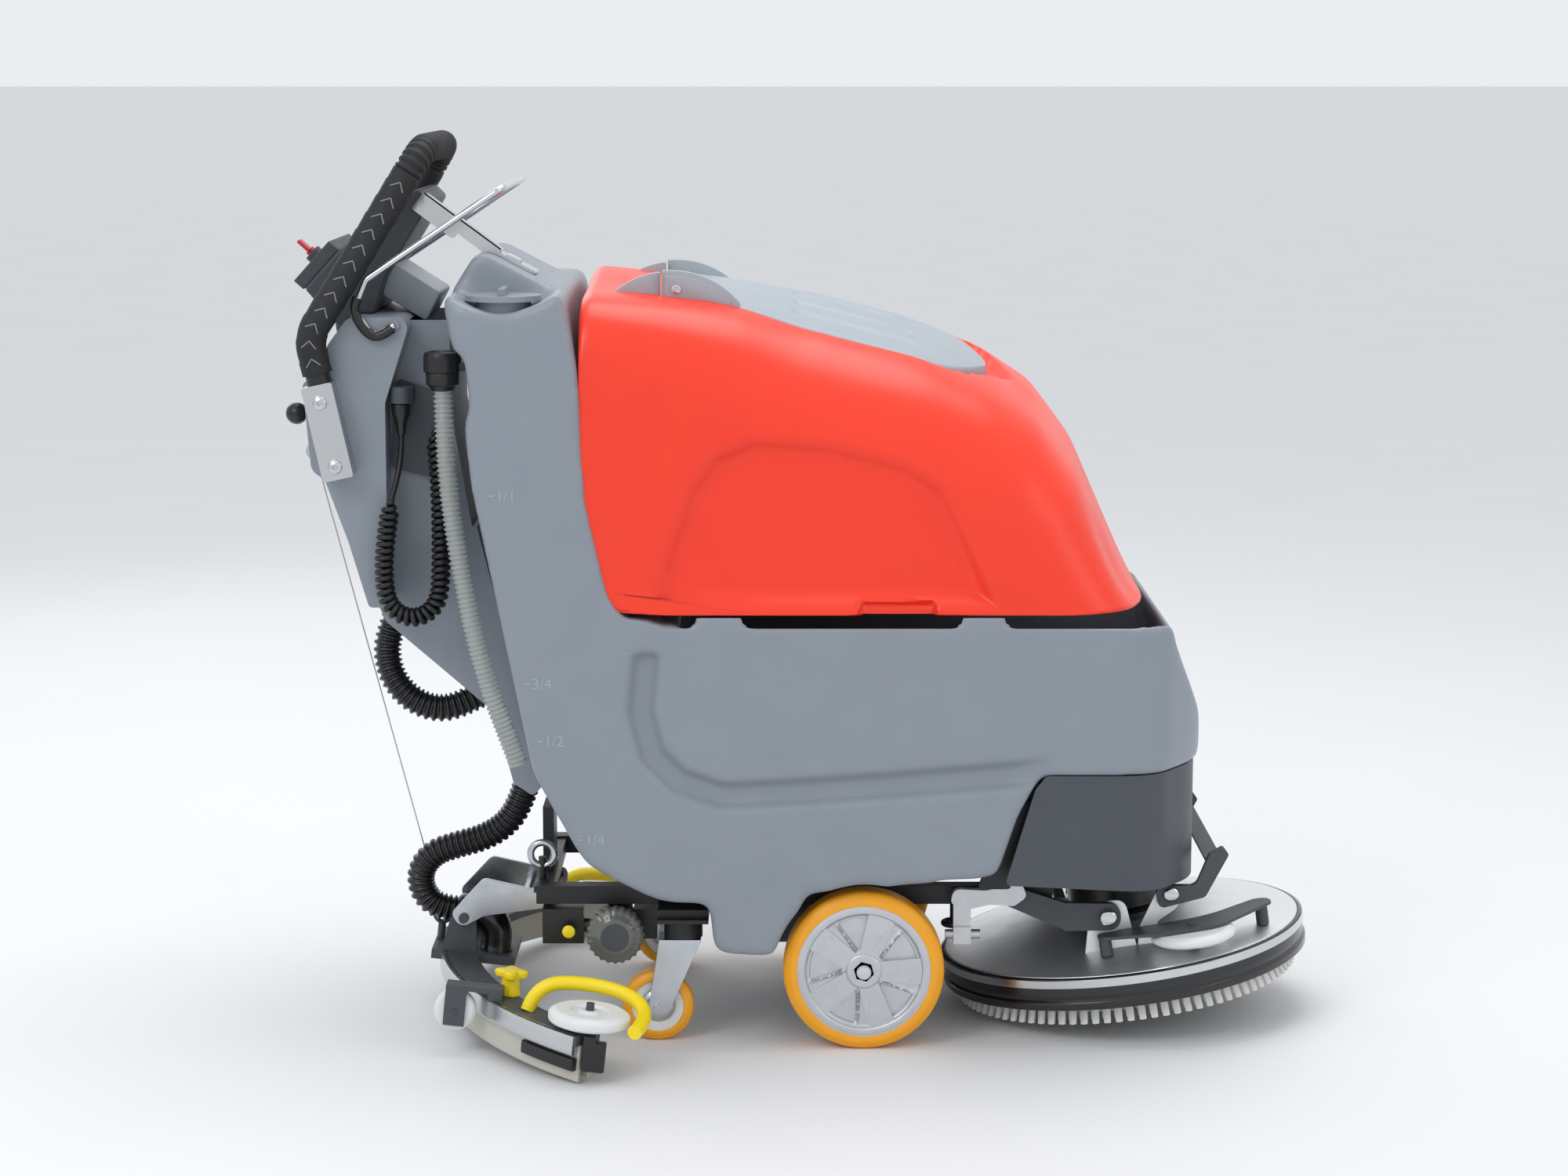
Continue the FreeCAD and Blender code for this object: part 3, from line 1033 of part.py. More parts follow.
def deck():
    """Round scrubbing deck, tipped nose-up: cover, skirt, motor, brush, bumper plate and roller."""
    place = deck_place()
    edge = size("deck_radius")
    high = size("skirt_high")
    cover = turned("cover_turned", [
        (18, high + 24), (90, high + 22, 20), (150, high + 14, 40), (edge - 22, high + 2, 20), (edge - 6, high, 4),
        (edge - 6, high + 4, 3), (edge - 22, high + 7, 20), (150, high + 19, 40), (90, high + 28, 20),
        (18, high + 28)])
    uprights = []
    for name, sign in SIDES:
        low = "-156" if sign < 0 else "151"
        top = "-151" if sign < 0 else "156"
        uprights.append(pad(f"upright_{name}", "side", [
            (-58, high + 14), (-46, DECK_PIN[1] + 4, 16), (-24, DECK_PIN[1] + 18, 20), (0, DECK_PIN[1] + 16, 14),
            (8, high + 14)], low, top))
        uprights.append(pad(f"front_upright_{name}", "side", [
            (9, high + 14), (14, high + 40, 14), (42, FRONT_PIN[1] + 4, 14), (58, FRONT_PIN[1] + 15, 14),
            (74, FRONT_PIN[1], 14), (64, FRONT_PIN[1] - 22, 12), (40, high + 46, 10), (29, high + 32, 6),
            (28, high + 14)], low, top))
        uprights.append(rod(f"deck_pin_{name}", 7, 24, (DECK_PIN[0], -174 if sign < 0 else 150, DECK_PIN[1]),
                            (0, 1, 0)))
    solid = fuse("cover_solid", [cover] + uprights)
    solid.Placement = place
    node("deck_cover", solid)
    skirt = turned("skirt_turned", [
        (edge - 6, size("skirt_low")), (edge, size("skirt_low"), 2), (edge, 34, 2), (edge - 2, 37, 2), (edge - 1, 60),
        (edge - 1, high + 4, 2), (edge - 6, high + 4)])
    skirt.Placement = place
    node("deck_skirt", skirt)
    motor = turned("motor_turned", [
        (13, high + 28), (78, high + 28), (78, high + 38, 3), (62, high + 40, 3), (62, 206, 8), (0, 206),
        (0, high + 60), (13, high + 60)])
    motor.Placement = place
    node("brush_motor", motor)
    brush_edge = size("brush_radius")
    disc = turned("brush_turned", [
        (0, 46), (0, high + 52), (12.94, high + 52), (12.94, 58), (brush_edge - 14, 58, 3), (brush_edge - 14, 44),
        (brush_edge, 0.3), (brush_edge - 26, 0.3), (brush_edge - 34, 40), (70, 40), (62, 0.3), (44, 0.3), (44, 46)])
    disc.Placement = place
    node("rotary_brush", disc)
    arms = []
    for name, sign in SIDES:
        low = "-168" if sign < 0 else "157"
        top = "-157" if sign < 0 else "168"
        arms.append(pad(f"front_arm_{name}", "side", [
            (40, FRONT_PIN[1] - 17, 8), (100, FRONT_PIN[1] - 10, 10), (136, 182, 4), (130, 193, 3), (112, 186, 4),
            (90, FRONT_PIN[1] + 6, 12), (50, FRONT_PIN[1] + 12, 8), (40, FRONT_PIN[1] + 8, 6)], low, top))
        arms.append(rod(f"front_pin_{name}", 8, 17, (FRONT_PIN[0], -171 if sign < 0 else 154, FRONT_PIN[1]),
                        (0, 1, 0)))
    tie = box("front_tie", (20, 320, 5), (106, -160, 176))
    yoke = fuse("front_arms", arms + [tie])
    plate = pad("bumper_pad", "plan", [
        (-44, -166, 8), (-36, -186, 12), (40, -204, 60), (112, -198, 50), (188, -118, 12), (182, -98, 10),
        (166, -98, 8), (96, -150, 120), (0, -158, 60)], "99", "103")
    posts = [rod("bumper_post_rear", 8, 24, (-32, -174, high + 15)),
             rod("bumper_post_front", 8, 30, (174, -108, high + 9.5)),
             rod("bumper_axle", 6, 30, (78, -180, 75))]
    irons = group("deck_irons_pair", [yoke, fuse("bumper_plate", [plate] + posts)])
    irons.Placement = place
    node("deck_irons", irons)
    roller = turned("bumper_turned", [(6.06, 0), (46, 0), (53, 4, 4), (53, 11, 4), (46, 15, 4), (6.06, 15)])
    roller.Placement = place.multiply(Place(V(78, -180, 83.4), Turn()))
    node("bumper_roller", roller)


def deck_links():
    """Rear links from the frame's pivot bar to the deck's pins, with their tie tube."""
    place = deck_place()
    pin = place.multVec(V(DECK_PIN[0], 0, DECK_PIN[1]))
    print("deck pin", tuple(round(value, 2) for value in pin))
    plates = []
    for name, sign in SIDES:
        low = "-168" if sign < 0 else "157"
        top = "-157" if sign < 0 else "168"
        plates.append(pad(f"link_{name}", "side", [
            (LINK_PIVOT[0] - 16, LINK_PIVOT[1] - 12, 10), (LINK_PIVOT[0] - 14, LINK_PIVOT[1] + 14, 12),
            (pin.x - 54, pin.z + 18, 6), (pin.x + 16, pin.z + 17, 15), (pin.x + 16, pin.z - 17, 15),
            (pin.x - 52, pin.z - 18, 6)], low, top))
    bores = [rod("link_bore", "pivot_bar_radius + 0.06", 360, (LINK_PIVOT[0], -180, LINK_PIVOT[1]), (0, 1, 0)),
             rod("link_pin_bore", 7.06, 360, (pin.x, -180, pin.z), (0, 1, 0))]
    tie = box("link_tie", (12, 320, 10), (LINK_PIVOT[0] + 52, -160, LINK_PIVOT[1] - 16))
    node("deck_links", cut("links_cut", fuse("links_solid", plates + [tie]), bores))
    bar = rod("pivot_bar", "pivot_bar_radius", 352, (LINK_PIVOT[0], -176, LINK_PIVOT[1]), (0, 1, 0))
    crank = pad("crank_plate", "side", [
        (194, 192, 10), (190, 172, 8), (214, 166, 6), (240, 172, 30), (270, 170, 10), (286, 182, 8), (280, 198, 8),
        (262, 198, 8), (236, 190, 30)], "-180", "-168.4")
    foot = box("crank_foot", (22, 14, 30), (194, -180, 142))
    buffers = rod("crank_buffers", 6, 44, (184, -174, 133), (1, 0, 0))
    block = box("buffer_block", (22, 18, 22), (194, -183, 122))
    node("lift_crank", fuse("crank_solid", [bar, crank, foot, buffers, block]))


def build():
    for make in (solution_tank, filler_cap, front_apron, recovery_tank, tank_lid, drive_wheels, transaxle, casters,
                 chassis_frame, inner_parts, rear_console, rear_cowl, handle, handle_brackets, controls, bail,
                 lift_lever, cable, hoses, water_parts, squeegee, squeegee_arm, deck, deck_links):
        make()
    doc.recompute()
    for item in doc.Objects:
        faults = [state for state in item.State if state in ("Invalid", "Error")]
        if faults:
            raise RuntimeError(f"{item.Label} ({item.Name}) is {faults}")
    os.makedirs("parts", exist_ok=True)
    for item in nodes:
        if item.Shape.isNull() or not item.Shape.isValid():
            raise RuntimeError(f"{item.Label} has no valid shape")
    for item in nodes:
        item.Shape.exportStep(f"parts/{item.Label}.step")
    print(len(nodes), "nodes")


build()
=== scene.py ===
# %% [markdown]
# # A walk-behind floor scrubber
# The machine has two moulded tanks, a round brush deck, a curved squeegee and a handle console.
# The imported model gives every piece's place in metres, and the new surfaces repeat its numbers in millimetres.
# Pieces that already have their real shape keep it and get a finish.
# The soft, moulded, ribbed and bristled ones are made again as surfaces.

# %% Loading the frame
import json
import math

import bmesh
import bpy
import numpy as np
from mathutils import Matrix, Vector


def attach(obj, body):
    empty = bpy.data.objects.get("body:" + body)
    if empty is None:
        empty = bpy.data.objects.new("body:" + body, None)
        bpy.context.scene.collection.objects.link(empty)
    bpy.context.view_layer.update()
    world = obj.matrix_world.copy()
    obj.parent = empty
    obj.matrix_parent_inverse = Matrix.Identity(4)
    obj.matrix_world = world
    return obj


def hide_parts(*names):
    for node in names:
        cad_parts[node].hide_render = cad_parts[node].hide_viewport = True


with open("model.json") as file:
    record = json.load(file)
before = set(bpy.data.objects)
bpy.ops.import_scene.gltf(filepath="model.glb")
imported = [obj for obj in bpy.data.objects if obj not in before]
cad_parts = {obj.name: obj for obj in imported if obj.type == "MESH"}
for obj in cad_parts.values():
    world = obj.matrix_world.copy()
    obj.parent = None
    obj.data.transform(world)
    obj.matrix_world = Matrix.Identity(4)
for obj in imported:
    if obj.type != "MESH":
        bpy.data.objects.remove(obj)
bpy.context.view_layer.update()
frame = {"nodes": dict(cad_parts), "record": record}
NODES = frame["nodes"]
MM = 0.001
SIDES = (("right", -1), ("left", 1))

# %% [markdown]
# ## Camera and light
# A long lens stands about four metres away, a little above the machine's top, and looks slightly down.
# Large soft panels and a pale world give the broad highlights that moulded plastic needs.

# %% Camera
camera_data = bpy.data.cameras.new("camera")
camera_data.lens = 77.4
camera_data.sensor_width = 36
camera = bpy.data.objects.new("camera", camera_data)
camera.location = (-0.018, -4.288, 1.209)
camera.rotation_euler = (math.radians(81.2), 0, 0)
bpy.context.scene.collection.objects.link(camera)
bpy.context.scene.camera = camera


# %% Colours
def colour(code):
    """sRGB hex to linear RGBA: each channel is divided by 255 and the sRGB curve is undone."""
    channels = np.array([int(code[i:i + 2], 16) for i in (0, 2, 4)]) / 255
    linear = np.where(channels <= 0.04045, channels / 12.92, ((channels + 0.055) / 1.055) ** 2.4)
    return (*linear.tolist(), 1.0)


# %% Light
world = bpy.data.worlds.new("studio")
bpy.context.scene.world = world
world.use_nodes = True
world.node_tree.nodes["Background"].inputs["Color"].default_value = colour("F4F6F8")
world.node_tree.nodes["Background"].inputs["Strength"].default_value = 0.92
bpy.context.scene.view_settings.view_transform = "Standard"
PANELS = (  # name, place in metres, width in metres, power in watts
    ("key", (-2.2, -3.0, 3.2), 2.0, 38), ("fill", (3.2, -2.4, 2.0), 2.0, 11),
    ("top", (0.3, 0.4, 3.4), 2.4, 40), ("back", (-1.6, 3.0, 2.2), 2.2, 15))
AIM = Vector((0, 0, 0.5))
for name, place, width, power in PANELS:
    panel = bpy.data.lights.new(name, "AREA")
    panel.shape = "DISK"
    panel.size = width
    panel.energy = power
    lamp = bpy.data.objects.new(name, panel)
    lamp.location = place
    lamp.rotation_euler = (AIM - Vector(place)).to_track_quat("-Z", "Y").to_euler()
    bpy.context.scene.collection.objects.link(lamp)
print(len(PANELS), "soft panels")


# %% [markdown]
# ## Helpers for surfaces
# Every new piece is a grid of points worked out as whole arrays: an outline carried across, a profile turned
# about an axis, or a ring carried along a path. One function puts points and faces into a mesh, merges seams,
# turns the faces outwards and marks the sharp edges.

# %% Grids of points
def grid_faces(rows, columns, wrap_rows=False, wrap_columns=True):
    """Quads between neighbouring points of a grid, whose last row or column may join the first."""
    r = np.arange(rows if wrap_rows else rows - 1)
    c = np.arange(columns if wrap_columns else columns - 1)
    r, c = (a.ravel() for a in np.meshgrid(r, c, indexing="ij"))
    rn, cn = (r + 1) % rows, (c + 1) % columns
    return np.stack([r * columns + c, r * columns + cn, rn * columns + cn, rn * columns + c], 1)


def grid(points, wrap_rows=False, wrap_columns=True, caps=True):
    """Shape from a rows x columns x 3 array; a cap closes the first and last row with one face each."""
    rows, columns = points.shape[:2]
    faces = grid_faces(rows, columns, wrap_rows, wrap_columns).tolist()
    if caps and not wrap_rows:
        faces.append(list(range(columns))[::-1])
        faces.append(list(range((rows - 1) * columns, rows * columns)))
    return points.reshape(-1, 3), faces


def together(shapes):
    """One shape from several: the faces of each are counted on from the points before it."""
    points, faces, start = [], [], 0
    for shape_points, shape_faces in shapes:
        points.append(shape_points)
        faces += [[index + start for index in face] for face in shape_faces]
        start += len(shape_points)
    return np.concatenate(points), faces


# %% Putting a shape into the scene
def tidy_mesh(mesh, merge=2e-6, sharp=38, outwards=True):
    """Merges double points, turns faces outwards and marks edges sharper than an angle."""
    work = bmesh.new()
    work.from_mesh(mesh)
    bmesh.ops.remove_doubles(work, verts=work.verts, dist=merge)
    bmesh.ops.dissolve_degenerate(work, edges=work.edges, dist=1e-7)
    if outwards:
        bmesh.ops.recalc_face_normals(work, faces=work.faces)
    for edge in work.edges:
        edge.smooth = not (len(edge.link_faces) == 2 and edge.calc_face_angle(0) > math.radians(sharp))
    for face in work.faces:
        face.smooth = True
    work.to_mesh(mesh)
    work.free()


def piece(name, shape, body, material, replaces=(), sharp=38):
    """A named object from a shape in millimetres, riding on a body, with its finish."""
    points, faces = shape
    mesh = bpy.data.meshes.new(name)
    mesh.from_pydata((points * MM).tolist(), [], faces)
    tidy_mesh(mesh, sharp=sharp)
    item = bpy.data.objects.new(name, mesh)
    bpy.context.scene.collection.objects.link(item)
    mesh.materials.append(material)
    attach(item, body)
    if replaces:
        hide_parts(*replaces)
    print(name, len(mesh.polygons), "faces")
    return item


# %% Outlines, turned shapes, prisms and tubes
def rounded(corners, step=5.0):
    """Closed outline in two dimensions: each corner (x, z, radius) becomes an arc, then even steps."""
    points = np.array([corner[:2] for corner in corners], float)
    radii = np.array([corner[2] if len(corner) > 2 else 0 for corner in corners], float)
    before, after = np.roll(points, 1, 0) - points, np.roll(points, -1, 0) - points
    lengths = np.stack([np.linalg.norm(before, axis=1), np.linalg.norm(after, axis=1)], 1)
    before, after = before / lengths[:, :1], after / lengths[:, 1:]
    half = np.arccos(np.clip((before * after).sum(1), -1, 1)) / 2
    reach = np.minimum(radii / np.tan(half), lengths.min(1) * 0.49)
    t = np.linspace(0, 1, 13)[None, :, None]
    first, last = points + before * reach[:, None], points + after * reach[:, None]
    arcs = ((1 - t) ** 2 * first[:, None] + 2 * t * (1 - t) * points[:, None] + t ** 2 * last[:, None])
    return even(arcs.reshape(-1, 2), step)


def even(points, step, closed=True):
    """The same line with points at even steps along it."""
    line = np.concatenate([points, points[:1]]) if closed else points
    run = np.concatenate([[0], np.cumsum(np.linalg.norm(np.diff(line, axis=0), axis=1))])
    count = max(8, int(run[-1] / step))
    where = np.linspace(0, run[-1], count, endpoint=not closed)
    return np.stack([np.interp(where, run, line[:, axis]) for axis in range(line.shape[1])], 1)


def turned(profile, origin=(0, 0, 0), along=(0, 0, 1), sides=72):
    """Profile (radius, height) turned about an axis: each radius becomes a ring, ends are capped."""
    profile = np.array(profile, float)
    axis = Vector(along).normalized()
    across = axis.orthogonal().normalized()
    u, v, w = np.array(across), np.array(axis.cross(across)), np.array(axis)
    turn = np.linspace(0, 2 * np.pi, sides, endpoint=False)
    ring = np.cos(turn)[:, None] * u + np.sin(turn)[:, None] * v
    points = profile[:, 0, None, None] * ring + profile[:, 1, None, None] * w + np.array(origin, float)
    return grid(points)


def ring_of(profile, origin, along, sides=72):
    """A closed profile (radius, height) turned about an axis, which makes a ring with no ends."""
    points = turned(profile, origin, along, sides)[0]
    return grid(points.reshape(len(profile), sides, 3), wrap_rows=True)


def prism(outline, low, high, edge=2.0, axis=1):
    """An outline in two dimensions carried between two planes, drawn in by a rounded edge at both."""
    centre = outline.mean(0)
    span = np.linalg.norm(outline - centre, axis=1).max()
    bend = np.linspace(0, np.pi / 2, 5)
    inset = np.concatenate([edge * (1 - np.sin(bend)), edge * (1 - np.cos(bend))])
    place = np.concatenate([low + edge * (1 - np.cos(bend)), high - edge + edge * np.sin(bend)])
    flat = centre + (outline - centre) * (1 - inset / span)[:, None, None]
    points = np.insert(flat, axis, place[:, None], axis=2)
    return grid(points)


def tube(path, radius, sides=20, reference=(0, 1, 0), caps=True):
    """Rings carried along a path: each stands square to the path, with its own radius."""
    along = np.gradient(path, axis=0)
    along /= np.linalg.norm(along, axis=1)[:, None]
    across = np.cross(along, np.array(reference, float))
    across /= np.linalg.norm(across, axis=1)[:, None]
    other = np.cross(along, across)
    turn = np.linspace(0, 2 * np.pi, sides, endpoint=False)
    radius = np.broadcast_to(np.asarray(radius, float), len(path))
    ring = np.cos(turn)[None, :, None] * across[:, None] + np.sin(turn)[None, :, None] * other[:, None]
    return grid(path[:, None] + radius[:, None, None] * ring, caps=caps)


def smooth_line(route, name="route"):
    """Points in millimetres along the smooth spline of order three that a route controls."""
    data = bpy.data.curves.new(name, "CURVE")
    data.dimensions = "3D"
    data.resolution_u = 24
    spline = data.splines.new("NURBS")
    spline.points.add(len(route) - 1)
    spline.points.foreach_set("co", np.insert(np.array(route, float), 3, 1, axis=1).ravel())
    spline.order_u = 3
    spline.use_endpoint_u = True
    holder = bpy.data.objects.new(name, data)
    mesh = bpy.data.meshes.new_from_object(holder)
    line = np.empty(len(mesh.vertices) * 3)
    mesh.vertices.foreach_get("co", line)
    bpy.data.objects.remove(holder)
    bpy.data.curves.remove(data)
    bpy.data.meshes.remove(mesh)
    return line.reshape(-1, 3)


def step_up(value, low, high):
    """Smooth step: 0 below low, 1 above high, with level ends."""
    t = np.clip((value - low) / (high - low), 0, 1)
    return t * t * (3 - 2 * t)


# %% [markdown]
# ## Finishes
# Each finish starts from what the real one is: moulded polyethylene, glossy rubber, cast or spun aluminium,
# plated steel, polyurethane. One function adds a node. Another builds the layers that these finishes share:
# a broad mottle in the colour, a fine grain in the height, an uneven roughness and thin scuffs.

# %% One node
def add(tree, kind, links=(), **settings):
    """Adds one node: links are (own input, source socket) pairs, settings are inputs or properties."""
    node = tree.nodes.new(kind)
    for key, value in settings.items():
        if hasattr(node, key):
            setattr(node, key, value)
        else:
            node.inputs[key.replace("_", " ")].default_value = value
    for key, source in links:
        tree.links.new(source, node.inputs[key])
    return node


# %% Shared layers
COAT_ROUGHNESS = 0.12
SCATTER_DEPTH = 0.01
SCUFF_FROM, SCUFF_FULL = 0.7, 0.8


def colours_of(sockets):
    """The colour sockets among a Mix node's inputs or outputs."""
    return [socket for socket in sockets if socket.type == "RGBA"]


def finish(name, base, shade, roughness, metallic=0.0, ior=None, grain=1.0, bump=0.05, mottle=60.0, spread=0.06,
           scuff=None, stretch=(1, 1, 1), coat=0.0, clear=0.0, specular=0.5, scatter=0.0):
    """Material from two tones, a roughness with its spread, and a grain size and mottle size in millimetres."""
    material = bpy.data.materials.new(name)
    material.use_nodes = True
    tree = material.node_tree
    shader = tree.nodes["Principled BSDF"]
    shader.inputs["Metallic"].default_value = metallic
    shader.inputs["Specular IOR Level"].default_value = specular
    if ior:
        shader.inputs["IOR"].default_value = ior
    if coat:
        shader.inputs["Coat Weight"].default_value = coat
        shader.inputs["Coat Roughness"].default_value = COAT_ROUGHNESS
    if clear:
        shader.inputs["Transmission Weight"].default_value = clear
    if scatter:
        shader.inputs["Subsurface Weight"].default_value = scatter
        shader.inputs["Subsurface Scale"].default_value = SCATTER_DEPTH
    place = add(tree, "ShaderNodeTexCoord").outputs["Object"]
    place = add(tree, "ShaderNodeMapping", [("Vector", place)], Scale=stretch).outputs["Vector"]
    broad = add(tree, "ShaderNodeTexNoise", [("Vector", place)], Scale=1 / (mottle * MM), Detail=4.0)
    fine = add(tree, "ShaderNodeTexNoise", [("Vector", place)], Scale=1 / (grain * MM), Detail=3.0)
    mix = add(tree, "ShaderNodeMix", [("Factor", broad.outputs["Fac"])], data_type="RGBA")
    first, second = colours_of(mix.inputs)
    first.default_value, second.default_value = colour(base), colour(shade)
    tint = colours_of(mix.outputs)[0]
    rough = add(tree, "ShaderNodeMapRange", [("Value", broad.outputs["Fac"])],
                To_Min=max(0.02, roughness - spread), To_Max=min(1, roughness + spread))
    if scuff:
        tone, long_mm, thin_mm, share = scuff
        scratch = add(tree, "ShaderNodeMapping", [("Vector", place)],
                      Scale=(1 / (long_mm * MM), 1 / (long_mm * MM), 1 / (thin_mm * MM)))
        streak = add(tree, "ShaderNodeTexNoise", [("Vector", scratch.outputs["Vector"])], Scale=1.0, Detail=2.0)
        only = add(tree, "ShaderNodeMapRange", [("Value", streak.outputs["Fac"])],
                   From_Min=SCUFF_FROM, From_Max=SCUFF_FULL, To_Min=0.0, To_Max=share)
        over = add(tree, "ShaderNodeMix", [("Factor", only.outputs["Result"])], data_type="RGBA")
        first, second = colours_of(over.inputs)
        tree.links.new(tint, first)
        second.default_value = colour(tone)
        tint = colours_of(over.outputs)[0]
    tree.links.new(tint, shader.inputs["Base Color"])
    tree.links.new(rough.outputs["Result"], shader.inputs["Roughness"])
    height = add(tree, "ShaderNodeBump", [("Height", fine.outputs["Fac"])], Strength=bump, Distance=grain * MM)
    tree.links.new(height.outputs["Normal"], shader.inputs["Normal"])
    return material


# %% Moulded plastics and rubber
# Rotomoulded polyethylene: satin, with a faint orange peel and thin scuffs from years of use.
tank_red = finish("rotomoulded_red_polyethylene", "F73A1B", "F03216", 0.33, ior=1.51, grain=2.2, bump=0.05,
                  scuff=("B52A14", 30, 1.6, 0.25))
tank_grey = finish("rotomoulded_grey_polyethylene", "8A929B", "828A94", 0.4, ior=1.51, grain=2.0, bump=0.07,
                   scuff=("AEB7BF", 60, 2.0, 0.25))
lid_grey = finish("pale_grey_polyethylene", "A1AAB1", "99A2AA", 0.4, ior=1.51, grain=1.8, bump=0.05)
# Textured ABS covers: dark, with an even spark-eroded grain that breaks up the highlight.
cover_dark = finish("textured_charcoal_abs", "3B3F46", "33373D", 0.5, ior=1.53, grain=0.9, bump=0.18)
apron_dark = finish("textured_slate_abs", "474C54", "3F444B", 0.5, ior=1.53, grain=0.9, bump=0.16)
black_plastic = finish("moulded_black_nylon", "17181A", "101113", 0.34, ior=1.53, grain=0.8, bump=0.1)
# Polyurethane tyres: dense, slightly waxy yellow with dust worked into it.
tyre_yellow = finish("cast_yellow_polyurethane", "F7AC1C", "F0A012", 0.42, ior=1.5, grain=1.6, bump=0.1,
                     mottle=25, scatter=0.15, scuff=("C98A2A", 18, 1.6, 0.4))
# Injection-moulded nylon and ABS in clear colours: smooth, with a small even sheen.
knob_yellow = finish("moulded_yellow_nylon", "FBE20E", "F1D408", 0.36, ior=1.53, grain=1.0, bump=0.08)
key_red = finish("moulded_red_abs", "C81E1E", "B81818", 0.35, ior=1.53, grain=1.0, bump=0.06)
# Turned nylon rollers: matt white that lets a little light in at its edges.
roller_white = finish("turned_white_nylon", "E4E6E6", "D9DCDD", 0.42, ior=1.53, grain=1.2, bump=0.08, scatter=0.1)
# Handlebar tape: dull, leathery and uneven; its print is a thin dry grey.
grip_black = finish("black_handlebar_tape", "1B1C1F", "131416", 0.62, ior=1.5, grain=0.7, bump=0.35)
tape_mark = finish("grey_tape_print", "8F9194", "787A7D", 0.6, ior=1.5, grain=0.7, bump=0.2)
# Rubber: the skirt is glossy black, the blades are a pale gum that light passes into.
skirt_rubber = finish("glossy_black_rubber", "121316", "0C0D0F", 0.2, ior=1.52, grain=3.0, bump=0.04, coat=0.3)
blade_rubber = finish("pale_gum_rubber", "D2CFC4", "C4C0B3", 0.34, ior=1.52, grain=2.0, bump=0.05, clear=0.12)
# Soft PVC: shiny on every rib. The drain hose is clear, so it takes on what is behind it.
hose_black = finish("black_ribbed_pvc", "1A1B1E", "111214", 0.3, ior=1.53, grain=1.5, bump=0.08)
hose_clear = finish("clear_ribbed_pvc", "D9DDDA", "C9CFCD", 0.22, ior=1.53, grain=1.5, bump=0.05, clear=0.55)
lead_black = finish("black_lead_sheath", "18191B", "101012", 0.4, ior=1.5, grain=0.8, bump=0.1)
# The filter's bowl is see-through and hard; the battery case and the bristles are plain mouldings.
bowl_smoke = finish("smoked_polycarbonate", "8E908A", "80827C", 0.12, ior=1.585, grain=3.0, bump=0.02, clear=0.5)
battery_case = finish("battery_polypropylene", "24262A", "1C1E21", 0.45, ior=1.49, grain=1.2, bump=0.1)
bristle_white = finish("white_nylon_bristle", "E9EAE6", "D6D8D4", 0.5, ior=1.53, grain=0.8, bump=0.2, scatter=0.2)

# %% Metals
# Cast aluminium has a dull sandy skin; sheet is rolled with a fine grain; plated zinc is bluish and clean.
cast_aluminium = finish("cast_aluminium", "D0D3D6", "C2C5C9", 0.42, metallic=1.0, grain=1.1, bump=0.25, mottle=20)
sheet_aluminium = finish("rolled_aluminium", "D2D4D6", "C3C6C9", 0.28, metallic=1.0, grain=0.8, bump=0.08,
                         stretch=(1, 1, 0.15))
zinc_steel = finish("zinc_plated_steel", "C9CDD2", "B7BCC3", 0.24, metallic=1.0, grain=1.5, bump=0.06, mottle=15)
# Ground stainless steel shows lines along the wheel's travel; paint hides the castings' and the frame's metal.
steel_bright = finish("ground_stainless_steel", "D6D8DA", "C6C8CB", 0.16, metallic=1.0, grain=0.6, bump=0.05,
                      stretch=(1, 1, 0.1))
frame_black = finish("black_powder_coat", "1E2023", "16181A", 0.42, ior=1.5, grain=1.2, bump=0.16)
iron_grey = finish("painted_cast_iron", "4A4E53", "3E4247", 0.5, ior=1.5, grain=1.6, bump=0.25)


def spun_metal(name):
    """Spun aluminium: fine rings about the deck's middle, worked out from the distance to its axis."""
    material = finish(name, "F1F2F3", "E4E6E8", 0.46, metallic=1.0, grain=0.8, bump=0.04, mottle=40)
    tree = material.node_tree
    shader = tree.nodes["Principled BSDF"]
    place = add(tree, "ShaderNodeTexCoord").outputs["Object"]
    middle = add(tree, "ShaderNodeMapping", [("Vector", place)], vector_type="POINT", Location=(-0.43, 0, 0))
    rings = add(tree, "ShaderNodeTexWave", [("Vector", middle.outputs["Vector"])], wave_type="RINGS",
                rings_direction="Z", Scale=40.0, Distortion=0.6, Detail=2.0)
    height = add(tree, "ShaderNodeBump", [("Height", rings.outputs["Fac"])], Strength=0.08, Distance=0.0004)
    tree.links.new(height.outputs["Normal"], shader.inputs["Normal"])
    return material


spun_aluminium = spun_metal("spun_aluminium")
print(len(bpy.data.materials), "finishes")
